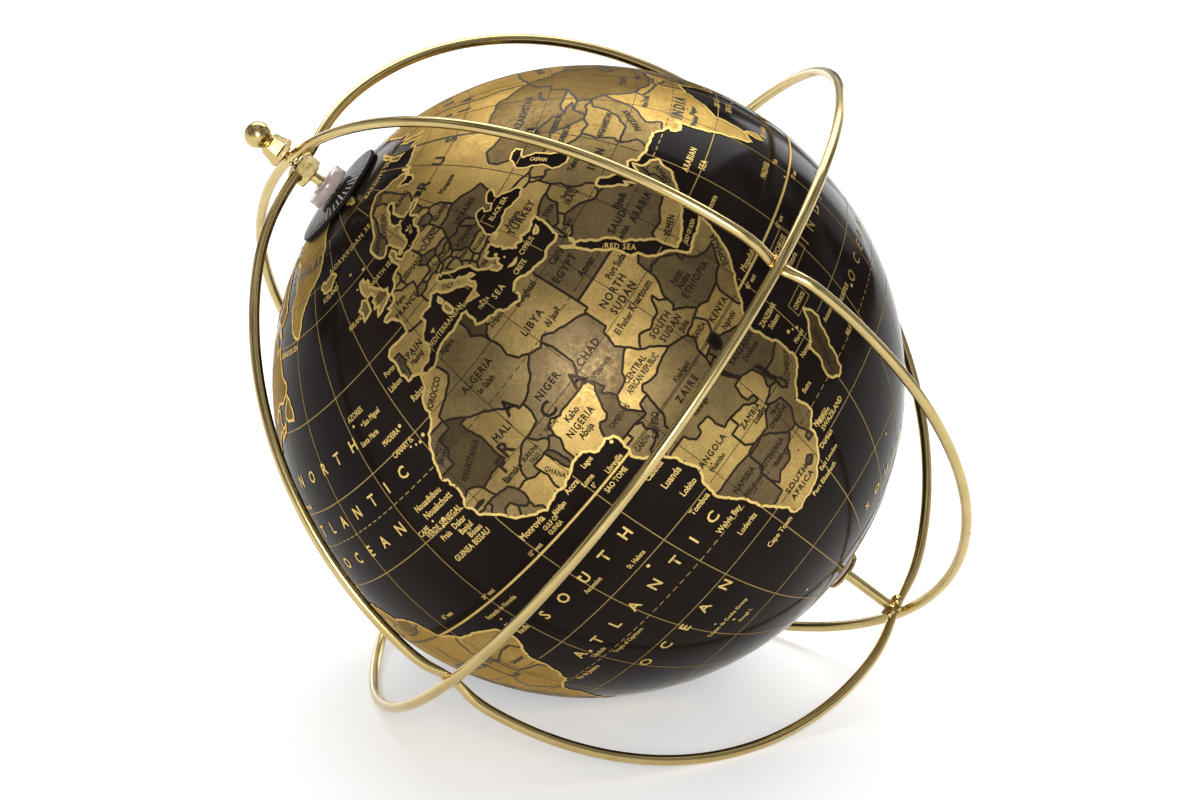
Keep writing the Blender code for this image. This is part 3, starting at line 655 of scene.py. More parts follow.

# --- map data: longitude,latitude pairs in degrees, written from general geography -----------------------
COASTS = {
    "afro_eurasia": """-5.4,35.9 -5.9,35.8 -6.3,34.9 -6.8,34 -7.6,33.6 -8.6,33.2 -9.3,32.3 -9.8,31.3
-9.6,30.4 -10.3,29.3 -11.5,28.4 -12.9,27.9 -13.4,27.1 -14.5,26.1 -14.9,25 -15.9,23.8 -16.4,22.5 -17,21.4
-17.1,20.8 -16.2,20.2 -16.5,19.3 -16,18.1 -16.5,16 -17.5,14.7 -16.8,13.9 -16.7,13.2 -16.8,12.4 -16,11.8
-15.1,10.9 -14.5,10.2 -13.7,9.5 -13.2,8.6 -12.5,7.4 -11.4,6.8 -10.8,6.3 -9.4,5.3 -7.6,4.4 -5.9,5 -4,5.3
-2.1,4.8 -0.2,5.5 1.2,6.1 2.7,6.4 4.4,6.3 5.2,5.5 5.5,4.7 6.1,4.3 7.2,4.4 8.5,4.7 9.3,4 9.7,3.8 9.9,3
9.8,2.3 9.4,1.2 9.5,0.3 8.8,-0.7 9.4,-2 10.5,-3.3 11.9,-4.8 12.3,-6 13.1,-7.4 13.2,-8.8 13.8,-10.8
13.5,-12.4 12.5,-13.6 12.2,-15.2 11.8,-16.8 11.9,-18.1 12.9,-19.8 13.9,-21.7 14.5,-22.9 14.8,-24.7
15.2,-26.7 16.4,-28.6 17.3,-30.3 18.2,-31.8 18,-32.9 18.4,-33.9 18.8,-34.3 20,-34.8 22.2,-34.1 25.6,-34
27.4,-33.2 30.2,-31.1 31.1,-29.8 32.4,-28.5 32.9,-27.3 32.7,-25.9 34,-24.9 35.4,-24.1 35.5,-22.2 35,-21
34.8,-19.8 36.2,-18.8 37.8,-17.5 39.9,-16.3 40.8,-14.9 40.6,-12.8 40.4,-10.6 39.6,-9 39.4,-7 38.8,-5.9
39.2,-4.7 39.7,-4 40.2,-2.6 41.6,-1.7 42.6,-0.4 44,1.1 45.4,2.1 47,3.6 48,4.6 49,6.3 49.9,8 50.8,9.5
51.1,10.6 51.3,11.9 49.2,11.3 47,11.1 45,10.5 44,10.4 43.2,11.5 42.8,12.6 41.7,13.9 40.1,14.9 39.5,15.6
38.6,17.9 37.4,18.7 37.2,19.6 37.1,21.1 36.9,22 35.5,23.9 34.1,26.2 33.5,27.8 32.6,29 32.5,29.9 32.7,29.5
33.3,28.5 34.2,27.8 34.5,28.3 34.9,29.5 34.6,28 35.6,27.3 36.6,25.8 37.2,24.7 38.4,23.8 39.1,22.2
39.1,21.5 40.2,20.2 41.2,18.8 42.3,17.2 42.8,16.4 42.8,15 43.2,13.3 43.5,12.7 45,12.8 46.7,13.4 48,14
49.1,14.5 51.2,15.2 52.3,16.1 54.1,17 55.4,17.8 56.9,18.9 57.8,19.3 58.3,20.6 59.7,22.4 58.6,23.6 57.2,24
56.4,24.8 56.4,26.2 55.3,25.3 54.2,24.2 51.8,24.1 51.6,25 51.3,26.1 50.8,25.1 50.1,26.6 49,27.6 48.4,28.6
48,29.9 48.9,30.2 50.1,30.1 50.8,28.9 52.5,27.5 54.7,26.6 56.3,27.1 57.1,26.6 57.3,25.7 59.1,25.4
61.6,25.1 64.6,25.2 66.6,25.1 67.1,24.7 68.2,23.6 70,22.8 69,22.3 70.4,20.9 72.2,21.1 72.6,22.2 72.8,21
72.8,19 73.5,16 74.3,14.6 74.9,12.8 76,10.5 76.6,8.8 77.5,8.1 78.2,8.9 79.2,9.3 79.9,10.4 80.3,13.1
80.1,15.2 81.3,16.3 82.3,16.9 84.9,19.3 86.8,20.5 87,21.5 88.8,21.6 90.3,22 91.8,22.4 92.4,20.6 93.7,19.3
94.5,17.6 94.3,16 95.4,15.7 96.9,17.2 97.6,16.4 98,14 98.6,12 98.4,10 98.3,8.2 99.7,6.5 100.4,5.2 101.3,3
103.5,1.3 104.2,1.6 103.5,3.8 103.3,4.9 102.1,6.2 100.4,7.3 99.3,9.3 99.6,11.5 100,13.3 100.9,13.4
102,12.4 103,11 104.7,10.4 104.8,8.7 106.7,10.3 109.2,11.8 109.3,13.4 108.3,16.1 106.5,18 105.8,19.2
107,20.8 108.3,21.6 109.7,21.4 110,20.3 110.6,21.3 113.5,22.1 114.3,22.4 116.8,23.3 118.6,24.6 119.8,26
121.2,28.2 122,29.9 120.9,30.4 121.9,31.5 120.7,33 119.2,35 120.4,36.1 122.6,37.2 121,37.7 119,37.4
117.7,38.9 119.4,39.8 121.3,40.8 121.4,39 122.5,39.5 124.3,39.9 125.3,38.7 124.9,37.9 126.6,37.2 126.4,35
127.6,34.6 129.2,35.2 129.4,37 128.4,38.6 127.5,39.5 129.7,41 130.7,42.3 132,43.2 135.5,44.5 138.2,46.7
140.5,49.8 140.6,51.8 141.3,53.2 139,54.2 137.2,53.8 135.3,54.8 138.8,56.9 142.5,59.2 148.8,59.4 152,59
155,59.5 157,61.7 160.3,61.8 163.3,62.5 163,60.5 159.9,60 157,57.8 155.6,55.6 155.9,53 156.7,51 158.6,53
160,54.8 162,56.2 163.3,58 163.4,59.8 166.3,60.2 170.3,60 174,61.8 177.3,62.7 179.3,62.8 177.6,64.7
180,65.1 182.5,65.5 187,64.4 190.3,66.1 185,67.2 180,69 176,69.8 170,70 161,69.5 159.7,70.7 152.5,70.9
145,72.2 140,72.5 139,71.5 133,71.7 130.5,70.8 129,71.5 127,73.3 123.5,73.2 119.5,73 113.5,73.5 109.5,74.1
107,73.2 110,76.5 113.5,76 107.5,76.7 104.3,77.7 99,76.3 93,76 87,75 80.6,73.6 80.8,72.1 77,72.4 74.5,72.9
73,71.4 74,68.3 72,68.5 72.5,71 69.9,73.1 67,71.5 66.8,69.5 68.5,68.3 64.8,69.2 60.8,69.8 60.5,68.8
54.3,68.4 46,68 44.1,66.3 43.8,68.6 42.5,66.6 40,66 40,65 37.5,64 35,64.3 33,66.7 38,66.1 41.2,66.9
40.5,67.7 36,69.1 33,69.4 30.8,69.8 28,71 25.7,71.1 21.5,70.2 18.8,69.6 16,68.6 14.5,67.3 12.8,66
11.2,64.8 9.8,63.5 7,62.8 5.1,61.9 5.1,60.5 5.6,58.9 7.1,58 8.3,58.2 10.4,59.2 11.2,58.9 11.8,57.7
12.6,56.2 13,55.4 14.3,55.5 15.9,56.1 16.5,57.2 16.7,58.6 18.3,59.3 18.9,60 17.2,60.8 17.3,62.2 18.5,63
20.4,63.8 21.8,65.3 24.1,65.8 25.4,65 24,64.3 21.4,63.1 21.4,61.2 22.2,60.2 25,60.2 28.2,60.5 30,59.9
28,59.6 24.7,59.5 23.5,59.1 23.7,58.4 24.4,57.7 24,57 22.6,57.7 21.1,56.8 21.1,55.6 20,54.8 18.7,54.5
16.5,54.4 14.2,53.9 12.5,54.4 10.9,54 9.9,54.8 9.7,55.5 10.9,56.4 10.5,57.6 8.6,57.1 8.1,55.6 8.7,54.3
8.6,53.7 7,53.5 4.8,53 3.9,51.8 1.6,50.9 1.5,50.2 0.2,49.5 -1.2,49.4 -1.9,49.7 -1.5,48.7 -3,48.8 -4.8,48.4
-4.3,47.8 -2.5,47.4 -1.2,46 -1.2,44.6 -1.7,43.4 -3.8,43.5 -5.8,43.6 -8,43.7 -9.2,43 -8.8,41.6 -8.8,40.5
-9.4,38.8 -8.8,38 -8.9,37 -7.5,37.1 -6.4,36.7 -5.6,36.1 -4.4,36.7 -2.2,36.8 -0.7,37.6 0.1,38.7 -0.3,39.6
0.8,40.8 3.2,41.9 3.1,43.1 4.6,43.4 6.5,43.1 7.7,43.8 8.9,44.4 10.2,43.9 10.6,42.9 12.2,41.8 14.2,40.8
15.7,40 16.1,38.7 15.7,37.95 16.6,38.4 17.1,39 16.6,39.8 17,40.5 18.4,39.8 18,40.7 16,41.5 16.1,41.9
14.7,42.1 13.6,43.5 12.4,44.4 12.3,45.3 13.6,45.7 13.6,45 14.3,45.2 15.2,44.2 16.5,43.4 18.4,42.5
19.5,41.6 19.4,40.4 20.2,39.3 21.1,38.3 22.9,38 21.7,38.2 21.2,37.7 21.7,36.8 22.5,36.5 23.1,36.5
23.1,37.4 23.7,37.9 24,37.7 24,38.3 22.9,39.3 22.9,40.4 23.7,40.2 24.3,40.2 24,40.7 26,40.8 26.2,40.1
26.2,39.6 26.9,38.8 26.4,38.2 27.3,37.5 27.5,36.8 28.9,36.7 29.7,36.2 30.6,36.8 32.5,36.1 34,36.3
34.8,36.8 36.1,36.7 35.8,35.6 35.9,34.8 35,32.9 34.3,31.4 33,31.1 32.3,31.3 31.5,31.5 30.3,31.5 29,30.9
27.3,31.3 25.2,31.6 23.9,32 22.6,32.8 21.5,32.9 20.1,32.2 20.1,31 19.1,30.3 17.5,30.9 15.6,31.6 15.1,32.4
13.2,32.9 11.5,33.2 10.1,34 10.7,34.7 10.6,35.8 11,37 9.9,37.3 7.8,36.9 5.1,36.8 3.1,36.8 1,36.5 -0.6,35.7
-2.2,35.1 -3,35.3 -4.3,35.2""",
    "america": """-168,65.6 -166,64.5 -161,64.5 -161.5,63.3 -165.5,62 -165,60.7 -162,59.8 -162,58.6
-157.3,58.7 -158.5,57.2 -163,55 -159,55.8 -154.5,58 -153.5,59.5 -150,61.2 -148.5,60 -144,60.1 -139.5,59.6
-136.5,58.2 -133.5,56 -130.3,54.5 -128.5,52.5 -127.5,51 -123.8,49.5 -122.5,48 -124.6,48.4 -124,46.2
-124.4,42.8 -124.3,40.4 -122.5,37.7 -120.6,34.6 -118.4,33.9 -117.2,32.5 -116,30 -114.3,27.8 -112.2,26
-112,24.6 -110,22.9 -111,25.5 -112.8,28.2 -114.8,31.6 -113,31.1 -111,28 -109.3,26 -107.5,24.3 -105.5,22.5
-105.6,20.5 -104.3,19.1 -101.5,17.8 -96.5,15.7 -94.7,16.2 -92.3,14.5 -89.5,13.4 -87.6,13 -85.8,11.1
-85.8,10 -83.7,8.9 -82.9,8.1 -80.9,7.3 -79.6,8.9 -78.2,8.3 -77.9,7.2 -77.4,4.5 -78.9,1.8 -80.1,0.3
-80.9,-2.2 -79.9,-3.2 -81.3,-4.7 -79.8,-7.1 -77.2,-12 -76.2,-14 -73,-16.4 -70.4,-18.4 -70.2,-22
-70.6,-25.5 -71.5,-30 -71.6,-33 -73.4,-37.2 -73.5,-40 -72.8,-42 -74.5,-44.5 -75.5,-47 -75.3,-50 -73.5,-53
-71.5,-54.5 -68,-55.6 -65.2,-54.7 -68.3,-53 -68.4,-52.3 -69.1,-50.5 -67.6,-49 -65.8,-47.5 -67.5,-46
-65.3,-45 -65,-43 -63.8,-42.5 -65,-41 -62.3,-40.5 -62.2,-38.9 -57.6,-38.1 -56.8,-36.4 -58.4,-34.3
-56.2,-34.9 -53.8,-34.3 -52.1,-32.2 -50.2,-30 -48.6,-28 -48.5,-25.8 -46.3,-24 -43.2,-23 -41.9,-22.5
-40.3,-20.3 -39.1,-17.5 -38.9,-14 -38.5,-13 -37,-11 -35,-8.5 -34.8,-7 -35.5,-5.2 -38.5,-3.7 -41.5,-2.9
-44.3,-2.5 -47.5,-0.7 -48.8,-0.3 -50,1.7 -51.2,4 -52.5,5 -55,5.9 -57.3,6.1 -59,8 -61.5,9.9 -62.7,10.6
-66,10.6 -68.2,10.9 -70,12.1 -71.4,10.9 -71.6,12.2 -74.2,11.3 -75.6,10.3 -76.8,8.1 -79.2,9.5 -81.8,8.9
-83.6,10.9 -83.5,13 -83.3,15 -85.8,15.9 -88.2,15.8 -88.2,18.4 -87.5,20 -87,21.5 -90.3,21.1 -90.7,19.7
-92.5,18.6 -94.8,18.3 -96.2,19.3 -97.8,22.3 -97.2,25.9 -97.2,27.8 -95,29.1 -92,29.6 -89.4,29 -88.9,30.4
-86,30.4 -84,30 -82.7,28.8 -82.6,27.3 -81.8,26 -81.1,25.1 -80.1,25.8 -80.5,28.3 -81.4,30.7 -79.5,33
-77.9,33.9 -75.6,35.3 -76,37 -74.2,39.5 -74,40.6 -71.5,41.4 -70,41.7 -70.8,42.8 -69,44.1 -66.8,44.9
-64.8,45.7 -66,43.6 -63.5,44.6 -61,45.3 -60.2,46.8 -63.5,46 -65,47.7 -64.4,49 -68.5,48.5 -71,46.9 -67,49.4
-64,50.3 -60,50.3 -57,51.5 -55.8,53.2 -60,55.5 -62.5,58 -64.8,60.4 -68,58.6 -70,61 -74,62.3 -78,62.5
-78,60 -76.8,57.2 -79,54.8 -79,51.5 -82.3,52.9 -82.3,55.1 -87.5,56 -92.5,57 -94.7,58.8 -94,61 -90.5,63.5
-87,64.5 -86,66.3 -82,67 -81.5,69.3 -85.5,69.8 -91,69.5 -94.5,72 -96,70 -97,68 -103,67.9 -108,67.5
-115,68.3 -115.5,69 -124.5,70.1 -128.5,70 -135,69.3 -141,69.7 -150,70.5 -156.6,71.3 -163,69.8 -166.5,68.3
-162,66.6""",
    "antarctica": """-180,-78 -165,-78 -155,-77 -147,-75.5 -130,-74 -113,-74.5 -102,-73 -88,-73 -75,-73
-68,-70 -66,-66 -58,-63.3 -60,-66 -62,-70 -62,-75 -45,-78 -30,-76 -20,-73 0,-70 15,-69.7 40,-69 50,-67
60,-67.3 70,-69 78,-69 88,-66.5 110,-66 130,-66 145,-67.5 160,-70 170,-71.5 165,-75 165,-78 180,-78
180,-85 -180,-85""",
    "greenland": """-43.9,59.9 -48,61 -51.5,64.2 -53.5,67 -51,69.5 -54.5,71.5 -58,75 -68.5,76.1 -72.5,78.2
-65,80 -58,82 -45,82.3 -32,83.6 -22,82.5 -15,81.5 -18,79.5 -20,76 -22,73 -24,70.5 -30,68.1 -37,65.7
-41,63.5 -43,60.5""",
    "baffin": """-64,62 -68,62.8 -72,64.5 -78,65.5 -73,68 -80,70 -89,71 -86,73.7 -80,73.7 -72,71.5
-67,69.3 -61.5,66.7 -64,65 -68,63.8""",
    "arctic_1": "-76,78.5 -90,76.7 -88,79 -95,80.5 -90,82 -70,83.1 -62,82.4 -72,80",
    "arctic_2": "-102,69 -115,69.2 -117,71 -118.5,72.5 -110,73 -105,72.5",
    "arctic_3": "-125.5,72 -124,74.2 -117.5,73.5 -120,71.5",
    "arctic_4": "-80,74.7 -92,74.7 -90,76.3 -80.5,75.8",
    "arctic_5": "-106,75 -116,75 -113,76.5 -106,76",
    "newfoundland": "-59.2,47.6 -56,46.9 -53,46.6 -52.8,47.8 -54,49.5 -56,51.5 -58,49.5",
    "cuba": "-84.9,21.9 -82.5,23.1 -80,23 -77,21.5 -74.2,20.2 -77.7,19.9 -77.5,20.8 -81.5,22.1",
    "hispaniola": "-74.4,18.5 -73.2,19.9 -70,19.8 -68.4,18.6 -71,18",
    "jamaica": "-78.3,18.3 -76.3,18.2 -77.2,17.8",
    "puerto_rico": "-67.2,18.4 -65.6,18.4 -65.8,18 -67.2,18",
    "iceland": "-22.5,64 -24.3,65.5 -22.5,66.4 -20.5,65.7 -16,66.5 -13.6,65 -18.5,63.4",
    "britain": """-5.6,50.1 -3.5,50.3 -1.3,50.7 1.4,51.2 0.6,51.5 1.7,52.7 0.2,53 -0.2,54 -1.5,55 -2,55.9
-3,56.1 -2,57.6 -4,57.7 -3.1,58.6 -5,58.6 -5.8,57.3 -5.6,55.5 -4.8,54.8 -3.3,54.9 -3,53.5 -4.5,53.3
-4.2,52.5 -5.2,51.8 -3.2,51.4 -4.5,51.1""",
    "ireland": "-10,51.6 -6.4,52.2 -6,53.5 -5.6,54.6 -7.3,55.3 -8.5,54.4 -10,54.2 -9.2,53",
    "madagascar": """49.3,-12 50.5,-15.5 49.7,-16.5 49.2,-18.3 47.9,-22.4 47.1,-25 45.2,-25.6 43.9,-24.5
43.3,-22.5 44.4,-20 44.3,-17 46,-15.8 47.7,-14.5 48.5,-13.3""",
    "sicily": "12.5,37.9 15.6,38.2 15.2,36.8",
    "sardinia": "8.3,40.9 9.6,41.1 9.6,39.2 8.5,39",
    "corsica": "8.7,42.5 9.4,42.9 9.4,41.6 8.8,41.6",
    "crete": "23.6,35.5 26.2,35.2 24.8,34.9",
    "cyprus": "32.4,35 34.4,35.6 33.8,34.9 32.8,34.6",
    "balearic": "2.5,39.6 3.4,39.8 3,39.3",
    "zealand": "11.2,55.7 12.5,56 12.2,55 11.2,55.2",
    "svalbard": "12,79.2 14,79.9 18,80 20.6,79.5 18.5,78.8 19,78.2 17,76.8 14.6,77.4 15.4,78.3",
    "novaya_zemlya": "51.8,71.5 53.5,73.5 57.5,75.3 68.5,76.9 61,75.2 56,73 57.5,70.7",
    "sri_lanka": "79.9,9.7 81.2,8.5 81.8,7.2 80.6,5.9 79.8,7.5",
    "sumatra": """95.3,5.6 97.5,5.2 100.4,2.8 103.5,0 106,-3 105.8,-5.8 104.5,-5.8 102,-3.8 100.3,-1
98.5,1.7""",
    "java": """105.2,-6.8 106.8,-6.1 108.5,-6.6 110.8,-6.4 112.7,-7 114.4,-7.8 114.4,-8.6 110,-8.1
106.5,-7.4""",
    "lesser_sunda": "116,-8.4 119,-8.3 122.8,-8.2 119.5,-8.8 116.2,-8.9",
    "timor": "123.6,-10.3 125.2,-8.7 127.2,-8.4 125.5,-9.5",
    "borneo": """109,1.5 111.3,2.7 113,3.2 115.5,5.5 117,7 119.2,5.2 117.8,3.5 118.9,1 117.5,-0.8
116.3,-3.8 114.5,-4.1 110.2,-2.9 109.1,-0.5""",
    "sulawesi": """120,1.3 123,0.9 125.1,1.6 124.3,0.4 121,0.4 120.2,-0.9 123.3,-0.9 121.6,-1.9 122.9,-4.2
121.6,-4.8 120.8,-2.8 120.4,-5.5 119.4,-5.4 119,-2.8""",
    "halmahera": "127.5,0.2 127.6,1.8 128.7,1.4 128.2,-0.6",
    "new_guinea": """131,-0.8 134.1,-0.8 134.5,-2.8 137.8,-1.5 141,-2.6 145.8,-4.8 147.8,-6.1 147.2,-6.9
150.8,-10.4 147,-9.4 144,-7.7 141,-9.1 138.2,-8.4 138.6,-6.9 133,-4.1 132.8,-2.8 134,-2.1""",
    "new_britain": "148.5,-5.7 152.2,-4.3 151,-6",
    "luzon": "120.3,16.1 120.7,18.5 122.2,18.4 121.6,15.9 124,12.7 120.7,13.9",
    "mindanao": "122,7 123.7,8.5 125.5,9.7 126.5,7.2 125.3,5.7 124,7.2",
    "visayas": "122,11.8 123.1,11.4 123,9.1 122,10.5",
    "samar": "124.3,12.5 125.5,12.2 125.2,10.2 124.5,10.8",
    "palawan": "117.3,8.3 119.5,11.3 119.8,10.6 117.8,8.3",
    "taiwan": "120.1,23 121.5,25.2 121.9,24.8 120.9,22",
    "hainan": "108.7,19.2 110.5,20.1 111,19.6 109.6,18.2",
    "honshu": """130.9,34 132.7,35.5 136,35.7 136.8,37.3 138.5,37.4 139.8,39.5 140.4,41.2 141.5,41.3
141.9,39.6 141,38.2 140.8,35.7 138.9,34.7 136.9,34.4 135.8,33.5 135.1,34.6 132.4,34.2""",
    "hokkaido": "140,41.6 140.5,43.2 141.7,45.4 143.5,44.2 145.3,43.5 143.2,42 141,42.5",
    "kyushu": "129.8,33.3 131,33.9 132,32.8 131.4,31.4 130.3,31.2",
    "shikoku": "132.5,33.8 134.5,34.2 134.3,33.4 133,32.8",
    "sakhalin": "142,46 141.9,50 142.4,54.3 143.3,52.5 144.5,49 143.5,46.2",
    "australia": """113.8,-22.5 114.1,-21.9 117,-20.7 119.5,-20 122.2,-18.2 123.8,-16.3 126.8,-14
129.5,-14.9 130.8,-12.5 132.6,-11.4 136.8,-12.2 135.8,-15 139.3,-17.4 140.9,-17 141.7,-12.8 142.5,-10.8
143.7,-14.2 145.4,-15.5 146.1,-18.7 149,-20.5 151,-23.5 153.2,-25.5 153.6,-28.5 152.5,-32.3 151.2,-34
150,-37.2 147.5,-38 146.3,-39 144.8,-38.2 143.5,-38.8 140.5,-38 138.6,-35.5 137.6,-35.2 137.8,-33
135.7,-34.9 134,-32.7 131.2,-31.5 128.5,-31.8 124,-33 121.5,-33.8 118,-35 115.1,-34.3 115.7,-31.8
114.6,-28.8 113.5,-26.2 113.7,-24.5""",
    "tasmania": "144.7,-40.7 148.3,-40.9 147.9,-43.2 146,-43.5",
    "new_zealand_n": """172.7,-34.5 174.8,-36.8 176,-37.6 178.5,-37.7 177,-39.6 175.2,-41.6 174,-39.5
174.8,-38""",
    "new_zealand_s": """172.7,-40.5 174.3,-41.7 172.8,-43.6 170.7,-45.9 168.4,-46.6 166.5,-46 168.5,-44
171.2,-42.5""",
    "new_caledonia": "164,-20.2 167,-22.2 166,-22.2",
    "falklands": "-61,-51.8 -58,-51.4 -59,-52.3",
}
LAKES = {
    "black_sea": """28,43.2 28.6,44 30,45.8 31.6,46.6 33.5,46.1 32.6,45.4 33.5,44.5 35.4,45 35,46 38,47
39,46.7 37.5,45.4 37.3,44.9 39.5,43.6 41.5,42.3 41.5,41.5 39.5,41 36.5,41.4 35,42 33,41.8 31.3,41.2
29.1,41.2 28,41.6 27.6,42.5""",
    "caspian": """47,43.8 46.8,44.6 49,46.5 51.5,46.9 53.1,46.6 53,45.3 51.1,45 50.3,44.4 51.8,43.2
52.6,42.6 52.8,41.5 53,40 53.9,38.8 53.9,37.1 51.5,36.7 49.8,37.5 48.9,38.5 49.4,40.3 48.6,41.9""",
    "marmara": "27.4,40.5 27.7,41 29,41 29.2,40.7",
    "victoria": "31.8,-0.9 32.1,0.2 33.9,0.3 34.1,-0.8 33.6,-2.1 32.4,-2.6 31.8,-1.9",
    "malawi": "34,-9.6 34.2,-11 34.1,-12.6 34.5,-14.2 35.1,-14.2 34.7,-12.6 34.8,-11.2 34.4,-9.8",
    "tanganyika": "29.2,-3.4 29.3,-5.8 30.5,-8.5 31,-8.5 29.8,-6 29.5,-3.5",
    "chad": "13.5,13.2 14.2,13.8 14.8,13.2 14.4,12.8",
    "aral": "58.5,44.5 59,46 61,46.5 61.5,45 59.5,43.8",
    "baikal": "104,51.6 106.5,52.9 109.5,55.7 109.8,55.2 107.5,52.6 105.5,51.6",
    "balkhash": "74,45.2 75,46.6 79,46.7 75.5,46.2",
    "ladoga": "30.5,61.2 32.6,61.2 32.8,60.2 31.2,59.9",
    "superior": "-92,46.8 -88.5,48.8 -84.8,46.7 -88.5,47.2",
    "michigan": "-87.8,42 -87.6,44.6 -85,45.8 -86.4,44 -86.4,42.2",
    "huron": "-84.2,45.9 -80.2,45.8 -81.6,43.3 -83.3,45",
    "erie": "-83.2,41.7 -79,42.8 -81.5,41.7",
    "ontario": "-79.7,43.4 -76.4,44 -76.6,43.6",
    "winnipeg": "-98.6,53.5 -97,53.5 -96.6,50.8 -97.2,51",
    "great_slave": "-116.5,61 -109.5,62.6 -113,61.4",
    "great_bear": "-124,66 -119,67 -118.5,65.6",
    "titicaca": "-70,-15.4 -68.7,-16.4 -69.4,-16",
}
